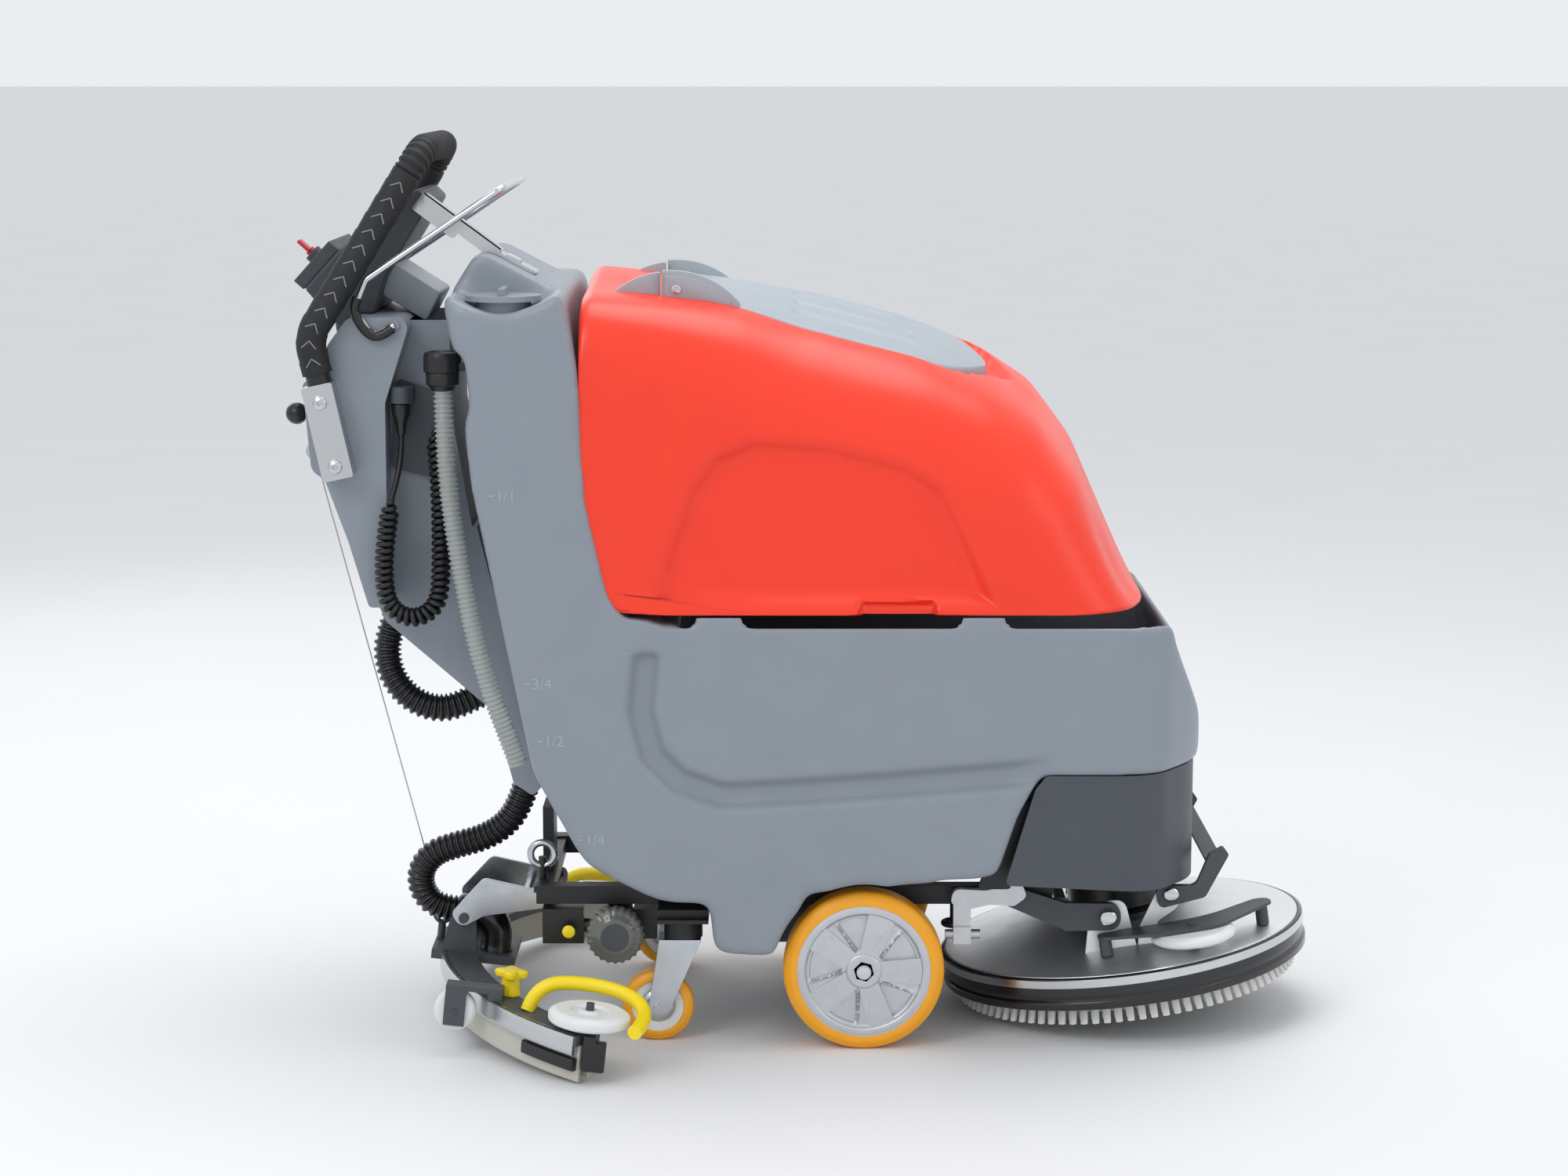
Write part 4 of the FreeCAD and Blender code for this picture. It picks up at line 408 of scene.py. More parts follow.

# %% [markdown]
# ## Hoses and leads
# Flexible pieces come first, because their length is fixed. Each route is a short list of given points, and one
# smooth spline follows it. Ribbed hoses are rings along that spline whose radius swells and falls; the charger's
# curly lead is a helix wound round its spline.

# %% Routes in metres
DRAIN_ROUTE = ((-0.434, -0.186, 0.817), (-0.433, -0.189, 0.778), (-0.431, -0.193, 0.734), (-0.427, -0.196, 0.686),
               (-0.42, -0.199, 0.634), (-0.411, -0.2, 0.58), (-0.402, -0.2, 0.532), (-0.39, -0.199, 0.484),
               (-0.377, -0.196, 0.438), (-0.362, -0.192, 0.394), (-0.347, -0.187, 0.352))
LEAD_ROUTE = ((-0.49, -0.15, 0.76), (-0.49, -0.153, 0.74), (-0.492, -0.159, 0.72), (-0.496, -0.168, 0.7),
              (-0.5, -0.178, 0.684))
COIL_ROUTE = ((-0.5, -0.178, 0.684), (-0.507, -0.18, 0.642), (-0.511, -0.181, 0.6), (-0.509, -0.182, 0.561),
              (-0.496, -0.182, 0.542), (-0.476, -0.182, 0.535), (-0.456, -0.181, 0.542), (-0.443, -0.178, 0.56),
              (-0.441, -0.173, 0.598), (-0.441, -0.167, 0.64), (-0.442, -0.161, 0.688), (-0.445, -0.155, 0.734),
              (-0.449, -0.15, 0.766))
UPPER_HOSE = ((-0.506, -0.06, 0.53), (-0.517, -0.065, 0.504), (-0.523, -0.071, 0.474), (-0.514, -0.077, 0.44),
              (-0.49, -0.081, 0.414), (-0.458, -0.082, 0.402), (-0.426, -0.078, 0.408), (-0.4, -0.07, 0.422))
LOWER_HOSE = ((-0.348, -0.052, 0.3), (-0.359, -0.05, 0.267), (-0.38, -0.047, 0.241), (-0.409, -0.043, 0.225),
              (-0.441, -0.039, 0.216), (-0.471, -0.035, 0.205), (-0.489, -0.031, 0.181), (-0.487, -0.028, 0.151),
              (-0.466, -0.026, 0.13), (-0.4385, -0.026, 0.1268))


# %% Ribbed hoses
def ribbed_hose(name, route, diameter, pitch, depth, material, body="chassis"):
    """Ribbed tube: radius = outer - depth/2 + depth/2 cos(turns along the hose), on the route's spline."""
    line = even(smooth_line(np.array(route) / MM, name + "_line"), pitch / 6, closed=False)
    run = np.concatenate([[0], np.cumsum(np.linalg.norm(np.diff(line, axis=0), axis=1))])
    wave = np.sign(np.cos(2 * np.pi * run / pitch)) * np.abs(np.cos(2 * np.pi * run / pitch)) ** 0.6
    radius = diameter / 2 - depth / 2 + depth / 2 * wave
    item = piece(name, tube(line, radius, 28), body, material, [name.replace("_tube", "")], sharp=80)
    return item


ribbed_hose("drain_hose_tube", DRAIN_ROUTE, 25, 6, 2.6, hose_clear)
ribbed_hose("upper_suction_hose_tube", UPPER_HOSE, 36, 8, 4.0, hose_black)
ribbed_hose("lower_suction_hose_tube", LOWER_HOSE, 36, 8, 4.0, hose_black)

# %% [markdown]
# The curly lead leaves the cover, drops in a loop and climbs to its plug. Its turns are points of the cord's
# own spline, twelve to a turn, and they tighten to nothing where the straight end begins.

# %% Curly lead
COIL_RADIUS = 9.0
COIL_PITCH = 8.5
TURN_POINTS = 12


def curly_path():
    """Points round the coil's line: line + radius (across cos turn + other sin turn), then the straight end."""
    line = even(smooth_line(np.array(COIL_ROUTE[::-1]) / MM), COIL_PITCH / TURN_POINTS, closed=False)
    along = np.gradient(line, axis=0)
    along /= np.linalg.norm(along, axis=1)[:, None]
    across = np.cross(along, (0, 1, 0))
    across /= np.linalg.norm(across, axis=1)[:, None]
    turn = np.arange(len(line)) * 2 * np.pi / TURN_POINTS
    share = np.arange(len(line)) / (len(line) - 1)
    radius = COIL_RADIUS * step_up(share, 0, 0.05) * (1 - step_up(share, 0.95, 1))
    wound = line + radius[:, None] * (np.cos(turn)[:, None] * across
                                      + np.sin(turn)[:, None] * np.cross(along, across))
    straight = smooth_line(np.array(LEAD_ROUTE[::-1]) / MM)
    return np.concatenate([wound, even(straight, 8, closed=False)[1:]])


def spline_piece(name, path, radius, body, material):
    """A round wire: one smooth spline of order three through the path's points, with a bevel."""
    data = bpy.data.curves.new(name, "CURVE")
    data.dimensions = "3D"
    data.bevel_depth = radius * MM
    data.bevel_resolution = 3
    data.resolution_u = 2
    data.use_fill_caps = True
    spline = data.splines.new("NURBS")
    spline.points.add(len(path) - 1)
    spline.points.foreach_set("co", np.insert(path * MM, 3, 1, axis=1).ravel())
    spline.order_u = 3
    spline.use_endpoint_u = True
    data.materials.append(material)
    item = bpy.data.objects.new(name, data)
    bpy.context.scene.collection.objects.link(item)
    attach(item, body)
    return item


lead_path = curly_path()
curly_lead = spline_piece("curly_lead", lead_path, 3.5, "chassis", lead_black)
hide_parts("charger_coil", "charger_lead")

# %% [markdown]
# ## The red recovery tank
# The real one is rotomoulded, so it has no straight edge: broad shoulders, a nose that falls away and an arch
# pressed into each side. A side outline carried across the width gives it. Towards each side the outline's
# height shrinks along a superellipse, whose power is high at the square rear and low at the round front.

# %% Side outline and its height
TANK_BASE = 549.0
TANK_HALF = 243.0
TANK_OUTLINE = [(-268, 953, 16), (-66, 936, 260), (32, 922, 200), (150, 892, 240), (240, 852, 160), (300, 812, 90),
                (352, 742, 120), (400, 632, 200), (436, 549.2, 8), (-170, 549.2, 50), (-222, 600, 50), (-239, 700, 60)]
CROWN_X = np.array([-274, -66, 32, 150, 240, 300, 352, 400, 436.0])
CROWN_Z = np.array([953, 935, 921, 889, 849, 806, 735, 634, 560.0])
ARCH = np.array([(-187, 553), (-168, 622), (-141, 703), (-108, 748), (-56, 770), (34, 763), (133, 738), (183, 706),
                 (219, 631), (252, 553)], float)
LID_HALF = 122.0
RIDGE_X = np.arange(-400, 560, 2.0)
RIDGE_Z = np.convolve(np.interp(np.arange(-460, 620, 2.0), CROWN_X, CROWN_Z), np.hanning(61) / np.hanning(61).sum(),
                      "valid")


def crown(x):
    """Height of the tank's ridge over a place along the machine, smoothed over about 6 cm."""
    return np.interp(x, RIDGE_X, RIDGE_Z)


def shoulder(x, y):
    """Share of the ridge's height that is left beside the middle: a superellipse, lower on the near side."""
    power = 3.4 + 4 * (1 - step_up(x, -276, 20))
    fall = (1 - np.clip(np.abs(y) / TANK_HALF, 0, 1) ** power) ** (1 / power)
    tilt = (15 + 15 * step_up(x, -120, 60)) * step_up(-y, -130, 130)
    return fall * (1 - tilt / np.maximum(crown(x) - TANK_BASE, 60))


def inside_depth(x, z, outline):
    """Distance to an outline for the points inside it, and 0 outside: nearest of its straight runs."""
    a, b = outline, np.roll(outline, -1, 0)
    p = np.stack([x, z], -1)[..., None, :]
    run = b - a
    t = np.clip(((p - a) * run).sum(-1) / (run ** 2).sum(-1), 0, 1)
    gap = np.linalg.norm(p - (a + t[..., None] * run), axis=-1).min(-1)
    crossing = ((a[:, 1] > z[..., None]) != (b[:, 1] > z[..., None])) & (
        x[..., None] < run[:, 0] * (z[..., None] - a[:, 1]) / np.where(run[:, 1] == 0, 1e-9, run[:, 1]) + a[:, 0])
    return np.where(crossing.sum(-1) % 2 == 1, gap, 0)


# %% Tank surface
def tank_shape():
    """Outline points times side stations: height scaled by the shoulder, plan drawn in at the nose."""
    outline = rounded(TANK_OUTLINE, 5.5)
    share = np.linspace(0.004, 0.985, 92)
    side = TANK_HALF * (1 - share ** 3.4) ** (1 / 3.4)
    middle = np.array([0, 22, 44, 60, 73, 76, 90, 106, 118, 122.6, 123.6, 128])
    across = np.unique(np.concatenate([middle, side[side > 131]]))
    across = np.concatenate([-across[::-1], across[1:]])
    x, y = np.meshgrid(outline[:, 0], across)
    z = np.meshgrid(outline[:, 1], across)[0]
    plan = (1 - np.clip(np.abs(y) / (TANK_HALF + 1), 0, 1) ** 3.6) ** (1 / 3.6)
    x = np.where(x > 120, 120 + (x - 120) * (0.55 + 0.45 * plan), x)
    top = step_up(z, 700, 760)
    z = TANK_BASE + (z - TANK_BASE) * shoulder(x, y)
    ridge = TANK_BASE + (crown(x) - TANK_BASE) * shoulder(x, y)
    on_top = top * (z > ridge - 30)
    nose = LID_HALF * (1 - np.clip((x - 150) / 122, 0, 1) ** 2.2)
    channel = np.where(np.abs(y) < 123.2, 1.0, 0.0) * step_up(nose + 1 - np.abs(y), 0, 3 + 9 * step_up(x, 60, 150))
    channel = channel * step_up(x, -156, -152) * (x < 276)
    z = z - on_top * channel * (14 - 9 * step_up(x, 240, 274))
    mouth = (np.abs(y) < 75) * step_up(x, -110, -104) * (1 - step_up(x, 114, 120))
    z = z - on_top * mouth * 90
    arch = step_up(inside_depth(x, z, ARCH), 0, 26)
    y = y * (1 - 17 / TANK_HALF * arch * step_up(np.abs(y), 170, 200))
    finger = step_up(x, 72, 80) * (1 - step_up(x, 162, 170)) * (1 - step_up(z, 560, 566))
    y = y * (1 - 13 / TANK_HALF * finger * step_up(np.abs(y), 200, 220))
    dimple = np.exp(-((x - 392) / 26) ** 2 - ((np.abs(y) - 165) / 30) ** 2)
    return grid(np.stack([x - 6 * dimple, y, z], -1))


piece("red_tank", tank_shape(), "recovery_tank", tank_red, ["recovery_tank"], sharp=55)


# %% [markdown]
# ## Lid and hinge ears
# The lid is a thin pale plate laid in the tank's channel, so it takes the same crown and shoulder functions and
# stands a few millimetres above the red. Three long troughs stiffen it. A half-round ear stands at each side of
# its hinge, split between the tank and the lid.

# %% Lid surface
LID_STEPS = 80
TROUGHS = (-62, -8, 46)


def lid_shape():
    """Plate on the crown: stations along times stations across, top and underside joined round the edge."""
    along = np.concatenate([[-169, -168, -166], np.arange(-160, 232, 4), [233, 235.5, 237, 238]])
    width = LID_HALF * np.where(along > 150, (1 - np.clip((along - 150) / 92, 0, 1) ** 2.3), 1)
    width = np.maximum(width, 14)
    spread = np.concatenate([np.linspace(1, -1, LID_STEPS), np.linspace(-1, 1, LID_STEPS)])
    upper = np.concatenate([np.ones(LID_STEPS), -np.ones(LID_STEPS)])[None, :]
    x = np.broadcast_to(along[:, None], (len(along), 2 * LID_STEPS))
    y = width[:, None] * spread[None, :]
    crown_z = TANK_BASE + (crown(x) - TANK_BASE) * shoulder(x, y)
    edge = 1 - np.clip((np.abs(spread) - 0.96) / 0.04, 0, 1)[None, :] ** 2 * 0.45
    trough = sum(np.exp(-((y - place) / 9.5) ** 4) for place in TROUGHS)
    trough = trough * step_up(x, -12, 2) * (1 - step_up(x, 138, 154)) * (upper > 0)
    z = crown_z - 4 + upper * 6.5 * edge - 4.5 * trough
    return grid(np.stack([x, y, z], -1))


# %% Ears
def ear_outline(start, end, radius):
    """Half-round fin between two places along the machine: an arc above, a level foot below."""
    x = np.linspace(start, end, 40)
    arc = np.stack([x, 849 + np.sqrt(radius ** 2 - (x + 158) ** 2)], 1)
    foot = np.array([(end, 905), (start, 918)], float)
    return even(np.concatenate([arc, foot]), 4)


for name, sign in SIDES:
    inner, outer = sorted((sign * 114, sign * 122))
    piece(f"lid_ear_{name}", prism(ear_outline(-169, -72, 111.5), inner, outer, 2.5), "tank_lid", lid_grey)
    piece(f"lid_ear_rib_{name}", prism(ear_outline(-166, -84, 105), *sorted((sign * 117, sign * 124)), 2), "tank_lid",
          lid_grey)
    piece(f"tank_ear_{name}", prism(ear_outline(-243, -171, 110), *sorted((sign * 104, sign * 113)), 2.5),
          "recovery_tank", lid_grey)
    screw = turned([(0, 0), (6.5, 0), (7, 1), (6, 3), (3, 3.6), (2.6, 2.4), (0, 2.4)], (-151, sign * 122.5, 937),
                   (0, sign, 0), 24)
    piece(f"hinge_screw_{name}", screw, "tank_lid", steel_bright)
piece("pale_lid", lid_shape(), "tank_lid", lid_grey, ["tank_lid"], sharp=60)

# %% [markdown]
# ## The grey hull
# The hull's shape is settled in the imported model, with its bay, arches, lugs and tower. What it lacks is the
# softness of a rotomoulded wall. A merged copy is remeshed in small cubes and its points are drawn towards
# their neighbours until edges are round, and a J-shaped groove is pressed into both sides.

# %% Softening a copy
def merged_copy(node, name):
    """A copy of a node's mesh with its double points merged, as a new object."""
    mesh = NODES[node].data.copy()
    mesh.name = name
    mesh.materials.clear()
    item = bpy.data.objects.new(name, mesh)
    bpy.context.scene.collection.objects.link(item)
    work = bmesh.new()
    work.from_mesh(mesh)
    bmesh.ops.remove_doubles(work, verts=work.verts, dist=1e-5)
    work.to_mesh(mesh)
    work.free()
    return item


def remeshed(item, size):
    """The object's surface again as even quads of one size, with the modifier applied."""
    remesh = item.modifiers.new("cubes", "REMESH")
    remesh.mode = "VOXEL"
    remesh.voxel_size = size * MM
    baked = bpy.data.meshes.new_from_object(item.evaluated_get(bpy.context.evaluated_depsgraph_get()))
    item.modifiers.clear()
    item.data = baked
    return item


def points_of(mesh):
    """All points of a mesh as an array, in millimetres."""
    points = np.empty(len(mesh.vertices) * 3)
    mesh.vertices.foreach_get("co", points)
    return points.reshape(-1, 3) / MM


def relaxed(points, edges, rounds, share):
    """Each point moves a share of the way to its neighbours' mean, some number of times."""
    a, b = edges[:, 0], edges[:, 1]
    count = np.bincount(a, minlength=len(points)) + np.bincount(b, minlength=len(points))
    for _ in range(rounds):
        total = np.stack([np.bincount(a, points[b, axis], len(points)) + np.bincount(b, points[a, axis], len(points))
                          for axis in range(3)], 1)
        points = points + share[:, None] * (total / count[:, None] - points)
    return points


GROOVE = np.array([(-185, 506), (-189, 470), (-193, 429), (-178, 375), (-146, 343), (-93, 325), (0, 330), (110, 338),
                   (262, 351), (330, 360)], float)


def near_line(x, z, line):
    """Distance from points to a line of straight runs."""
    a, run = line[:-1], np.diff(line, axis=0)
    p = np.stack([x, z], -1)[:, None, :]
    t = np.clip(((p - a) * run).sum(-1) / (run ** 2).sum(-1), 0, 1)
    return np.linalg.norm(p - (a + t[..., None] * run), axis=-1).min(-1)


HULL_CUBE = 5.0
HULL_ROUNDS = 14
HULL_FACES = 85500


def grey_hull():
    """Remeshed hull: softened away from its thin rim, the groove pressed in by up to 14 mm, the rim 7 mm higher."""
    item = remeshed(merged_copy("solution_tank", "grey_hull"), HULL_CUBE)
    mesh = item.data
    points = points_of(mesh)
    edges = np.empty(len(mesh.edges) * 2, int)
    mesh.edges.foreach_get("vertices", edges)
    x, y, z = points.T
    thin = step_up(z, 480, 505) * (1 - step_up(z, 552, 575)) * (x > -235)
    share = 0.55 * (1 - 0.85 * thin)
    points = relaxed(points, edges.reshape(-1, 2), HULL_ROUNDS, share)
    x, y, z = points.T
    gap = near_line(x, z, GROOVE)
    press = (1 - step_up(gap, 6, 22)) * (1 - step_up(x, 255, 330)) * (1 - step_up(z, 498, 505))
    y = y - np.sign(y) * 14 * press * step_up(np.abs(y), 236, 244)
    z = z + 7 * step_up(z, 505, 522) * (1 - step_up(z, 534, 548)) * (x > -235)
    points = np.stack([x, y, z], 1)
    mesh.vertices.foreach_set("co", (points * MM).ravel())
    thinner = item.modifiers.new("thinner", "DECIMATE")
    thinner.ratio = min(1.0, HULL_FACES / len(mesh.polygons))
    final = bpy.data.meshes.new_from_object(item.evaluated_get(bpy.context.evaluated_depsgraph_get()))
    item.modifiers.clear()
    item.data = final
    for face in final.polygons:
        face.use_smooth = True
    final.materials.clear()
    final.materials.append(tank_grey)
    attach(item, "chassis")
    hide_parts("solution_tank")
    print("grey_hull", len(final.polygons), "faces")
    return item


grey_hull()


# %% [markdown]
# ## Level marks
# Four fractions up the hull say how full the tank is. They are moulded in, so each is a letter outline given a
# thickness, made a mesh and set into the wall, with a short tick before it.

# %% Level marks
MARK_WIDTH = 28
MARK_WALL = 249.6
LEVELS = (("1/1", -366, 690), ("3/4", -325, 459), ("1/2", -311, 388), ("1/4", -262, 265))


def fraction(words, x, z, sign):
    """Letters as thin raised plates that read from their own side: along x on one side, against it on the other."""
    data = bpy.data.curves.new("letters", "FONT")
    data.body, data.size, data.extrude, data.resolution_u = words, 19, 0.8, 3
    holder = bpy.data.objects.new("letters", data)
    mesh = bpy.data.meshes.new_from_object(holder)
    u, v, w = points_of(mesh).T * MM
    faces = [list(face.vertices) for face in mesh.polygons]
    bpy.data.objects.remove(holder)
    bpy.data.curves.remove(data)
    bpy.data.meshes.remove(mesh)
    along = x + u if sign < 0 else x + MARK_WIDTH - u
    return np.stack([along, sign * (MARK_WALL + w), z + v], 1), faces


def level_marks():
    """A fraction and a short tick before it at four heights on each side."""
    shapes = []
    for sign in (-1, 1):
        for words, x, z in LEVELS:
            tick = rounded([(x - 9, z + 5, 1), (x - 2, z + 5, 1), (x - 2, z + 7, 1), (x - 9, z + 7, 1)], 1)
            shapes += [fraction(words, x, z, sign), prism(tick, *sorted((sign * 248.8, sign * 250.4)), 0.3)]
    return together(shapes)


piece("level_marks", level_marks(), "chassis", lid_grey)

# %% [markdown]
# ## Wheels
# The drive wheel is a polyurethane tyre on a die-cast rim. Five wedge-shaped windows are sunk between its
# spokes, so the face is one polar grid whose height is a function of radius and angle. The casters are turned shapes.

# %% Drive wheels
WHEEL = (81.0, 100.0)


def rim_face(sign):
    """Polar grid: height = rim ring + hub + ribs - five soft-sided windows, closed behind by a disc."""
    radius = np.concatenate([np.linspace(0.5, 80, 54), [81.5, 83]])
    turn = np.linspace(0, 2 * np.pi, 200, endpoint=False)
    r, t = np.meshgrid(radius, turn, indexing="ij")
    sector = (t / (2 * np.pi) * 5 + 0.25) % 1
    half = np.abs(sector - 0.5) * 2
    reach = half * r * math.pi / 5
    spoke = r * math.pi / 5 - reach
    window = step_up(spoke, 9, 10.5) * step_up(r, 27, 29) * (1 - step_up(r, 66, 68))
    rib = np.exp(-((spoke - 7.4) / 1.3) ** 2) * step_up(r, 24, 30) * (1 - step_up(r, 66, 72))
    ring = step_up(r, 70, 74)
    hub = 1 - step_up(r, 20, 25)
    height = -7 - 5 * window + 3.5 * rib + 5.5 * ring + 5 * hub - 2 * step_up(r, 80, 83)
    x = WHEEL[0] + r * np.cos(t)
    z = WHEEL[1] + r * np.sin(t)
    front = np.stack([x, sign * (235 + height), z], -1)
    back = np.stack([x[::-1], np.full_like(x, sign * 190), z[::-1]], -1)
    return grid(np.concatenate([front, back]))


TYRE = rounded([(82.6, 0.5, 2), (90, 0.5, 3), (100, 7, 9), (100, 43, 9), (90, 49.5, 3), (82.6, 49.5, 2)], 2)
for name, sign in SIDES:
    body = f"drive_wheel_{name}"
    centre = (WHEEL[0], sign * 235, WHEEL[1])
    piece(f"tyre_{name}", ring_of(TYRE, centre, (0, -sign, 0), 96), body, tyre_yellow,
          [f"drive_tyre_{name}"])
    piece(f"rim_face_{name}", rim_face(sign), body, cast_aluminium, sharp=70)
    hexagon = turned([(0, 0), (13, 0), (13, 2), (8.5, 2), (8.5, 8), (0, 8.6)], (WHEEL[0], sign * 231, WHEEL[1]),
                     (0, sign, 0), 6)
    piece(f"rim_bolt_{name}", hexagon, body, steel_bright, sharp=20)

# %% Casters
CASTER_TYRE = rounded([(32.5, 1, 1), (37, 1, 2), (45, 6, 6), (45, 24, 6), (37, 29, 2), (32.5, 29, 1)], 1.6)
CASTER_RING = rounded([(21, 4, 1), (33, 3, 1), (33, 27, 1), (21, 26, 1)], 2)
CASTER_HUB = rounded([(5.2, 0.3, 1), (14, 0.3, 2), (21, 5, 1), (21, 25, 1), (14, 29.7, 2), (5.2, 29.7, 1)], 2)
for name, sign in SIDES:
    centre = (-176, sign * 180 - 15, 45)
    for label, profile, material, slot in (("tyre", CASTER_TYRE, tyre_yellow, "tyre_yellow"),
                                           ("ring", CASTER_RING, roller_white, "roller_white"),
                                           ("hub", CASTER_HUB, zinc_steel, "zinc_steel")):
        item = piece(f"caster_{label}_{name}", ring_of(profile, centre, (0, 1, 0), 64), f"caster_wheel_{name}",
                     material)
        if label == "tyre":
            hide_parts(f"caster_wheel_{name}")

# %% [markdown]
# ## Brush deck
# The deck is tipped nose-up by eight degrees. Its pieces are turned about their own axis in a level frame, and
# one function then tips and places them, so that the skirt, the band and the bristles follow the deck exactly.

# %% Deck frame
DECK_TURN = math.radians(-8)
DECK_PLACE = np.array([430.0, 0, 34.0])


def on_deck(shape):
    """A level shape tipped about the machine's width and moved to the deck's middle."""
    points, faces = shape
    x, y, z = points.T
    c, s = math.cos(DECK_TURN), math.sin(DECK_TURN)
    return np.stack([x * c + z * s, y, z * c - x * s], 1) + DECK_PLACE, faces


# %% Skirt and band
SKIRT = [(231.5, 24.5, 1), (237, 24.2, 2), (237.4, 34, 2), (233.8, 37, 2), (235.4, 41, 2), (235, 60, 2),
         (236, 64, 2), (231.4, 66, 1)]
piece("skirt", on_deck(ring_of(rounded(SKIRT, 1.6), (0, 0, 0), (0, 0, 1), 180)), "deck", skirt_rubber,
      ["deck_skirt"])
BAND = [(236, 53, 0.5), (237.2, 53, 0.5), (237.2, 63.5, 0.5), (236, 63.5, 0.5)]
piece("skirt_band", on_deck(ring_of(rounded(BAND, 0.8), (0, 0, 0), (0, 0, 1), 180)), "deck", steel_bright)


# %% Bristles
def tufts(radius, count, lean):
    """Tapered tufts round a circle: rings of six points that spread and lean outwards from top to tip."""
    place = np.arange(count) / count * 2 * np.pi
    level = np.array([1.0, 0.62, 0.28, 0.0])
    height = 1.5 + level * 42
    wide = np.array([3.2, 4.2, 5.2, 4.8])
    out = radius + lean * (1 - level) ** 1.5
    turn = np.linspace(0, 2 * np.pi, 6, endpoint=False)
    radial = out[None, :, None] + wide[None, :, None] * 0.7 * np.cos(turn)
    side = wide[None, :, None] * np.sin(turn)
    c, s = np.cos(place)[:, None, None], np.sin(place)[:, None, None]
    points = np.stack([radial * c - side * s, radial * s + side * c,
                       np.broadcast_to(height[None, :, None], (count, 4, 6))], -1)
    return together([grid(tuft) for tuft in points])


BLOCK = [(0, 58), (200, 58), (203, 55), (203, 45), (198, 43), (0, 43)]
piece("brush_block", on_deck(turned(BLOCK, (0, 0, 0), (0, 0, 1), 96)), "rotary_brush", black_plastic)
rows = together([tufts(205, 92, 12), tufts(190, 84, 8), tufts(160, 64, 4), tufts(120, 46, 2)])
piece("brush_bristles", on_deck(rows), "rotary_brush", bristle_white, ["rotary_brush"])

# %% Bumper roller
ROLLER = rounded([(6.3, 0.3, 1), (46, 0.3, 1), (53, 4.5, 4), (53, 10.5, 4), (46, 14.7, 2), (6.3, 14.7, 1)], 1.8)
piece("bumper_wheel", on_deck(ring_of(ROLLER, (78, -180, 83.4), (0, 0, 1), 72)), "bumper_roller", roller_white,
      ["bumper_roller"])

# %% [markdown]
# ## Squeegee
# The beam and its blades are a level arc about a centre near the machine's middle, tipped by six degrees about
# the blade tips. Rollers, bows and knobs are made level and tipped in the same way.

# %% Squeegee frame
SQUEEGEE_TURN = math.radians(6)
TIP = np.array([-256.0, 0, 0])
SQUEEGEE_LIFT = 2.0
SQUEEGEE_CENTRE = 9.0


def on_squeegee(shape):
    """A level shape tipped about the blade tips' line and lifted to where the squeegee rests."""
    points, faces = shape
    x, y, z = (points - TIP).T
    c, s = math.cos(SQUEEGEE_TURN), math.sin(SQUEEGEE_TURN)
    return np.stack([x * c + z * s, y, z * c - x * s], 1) + TIP + (0, 0, SQUEEGEE_LIFT), faces


def around(radius, angle):
    """A place at a radius and an angle from straight back, about the squeegee's centre."""
    return SQUEEGEE_CENTRE - radius * math.cos(math.radians(angle)), -radius * math.sin(math.radians(angle))


# %% Rollers and knobs
DISC = rounded([(5.3, 0.4, 1), (38, 0.4, 2), (50, 5, 5), (50, 15, 5), (42, 19.6, 5), (24, 19.6, 2), (22, 16, 2),
                (14, 16, 2), (12, 19.6, 1), (5.3, 19.6, 1)], 1.8)
REAR = rounded([(3.3, 0.3, 1), (9, 0.3, 1), (22, 1.5, 2), (26, 5, 3), (26, 13, 3), (22, 16.5, 2), (9, 17.7, 1),
                (3.3, 17.7, 1)], 1.5)


def star_shape(x, y):
    """Knob: rings whose radius swells four times round, over a ribbed stem."""
    height = np.array([0.3, 3, 12, 20, 22, 23.5, 27, 30.5, 32, 32.4])
    base = np.array([12.5, 12.5, 10.5, 11, 13, 15.6, 16.4, 16.2, 14.6, 4.0])
    lobe = np.array([0, 0, 0, 0.02, 0.14, 0.24, 0.27, 0.27, 0.24, 0.1])
    turn = np.linspace(0, 2 * np.pi, 96, endpoint=False)
    radius = base[:, None] * (1 + lobe[:, None] * np.cos(4 * turn)) + 0.5 * np.cos(16 * turn) * (lobe[:, None] < 0.02)
    points = np.stack([x + radius * np.cos(turn), y + radius * np.sin(turn),
                       np.broadcast_to(58.4 + height[:, None], radius.shape)], -1)
    return grid(points)


for name, sign in SIDES:
    x, y = around(438, 52)
    piece(f"disc_wheel_{name}", on_squeegee(ring_of(DISC, (x, -sign * y, 62), (0, 0, 1), 80)), f"disc_roller_{name}",
          roller_white, [f"disc_roller_{name}"])
    x, y = around(508, 30.5)
    piece(f"rear_wheel_{name}", on_squeegee(ring_of(REAR, (x, -sign * y - 9, 40), (0, 1, 0), 64)),
          f"rear_roller_{name}", roller_white, [f"rear_roller_{name}"])
    x, y = around(441, 32)
    piece(f"yellow_knob_{name}", on_squeegee(star_shape(x, -sign * y)), f"star_knob_{name}", knob_yellow,
          [f"star_knob_{name}"])


# %% Guard bows
BOW_ROUTE = ((-338, 292, 58), (-330, 286, 92), (-262, 279, 96), (-206, 300, 90), (-190, 340, 74), (-204, 384, 70))


def guard_bow(sign):
    """Padded tube along the bow's rounded route: radius = 8.8 + 0.15 cos(turns along it)."""
    route = np.array(BOW_ROUTE, float) * (1, sign, 1)
    line = even(smooth_line(route), 1.6, closed=False)
    run = np.arange(len(line)) * 1.6
    return tube(line, 8.8 + 0.15 * np.cos(2 * np.pi * run / 6), 20, (0.62, -0.5 * sign, -0.6))


piece("yellow_bows", on_squeegee(together([guard_bow(-1), guard_bow(1)])), "squeegee", knob_yellow,
      ["guard_bows"], sharp=80)


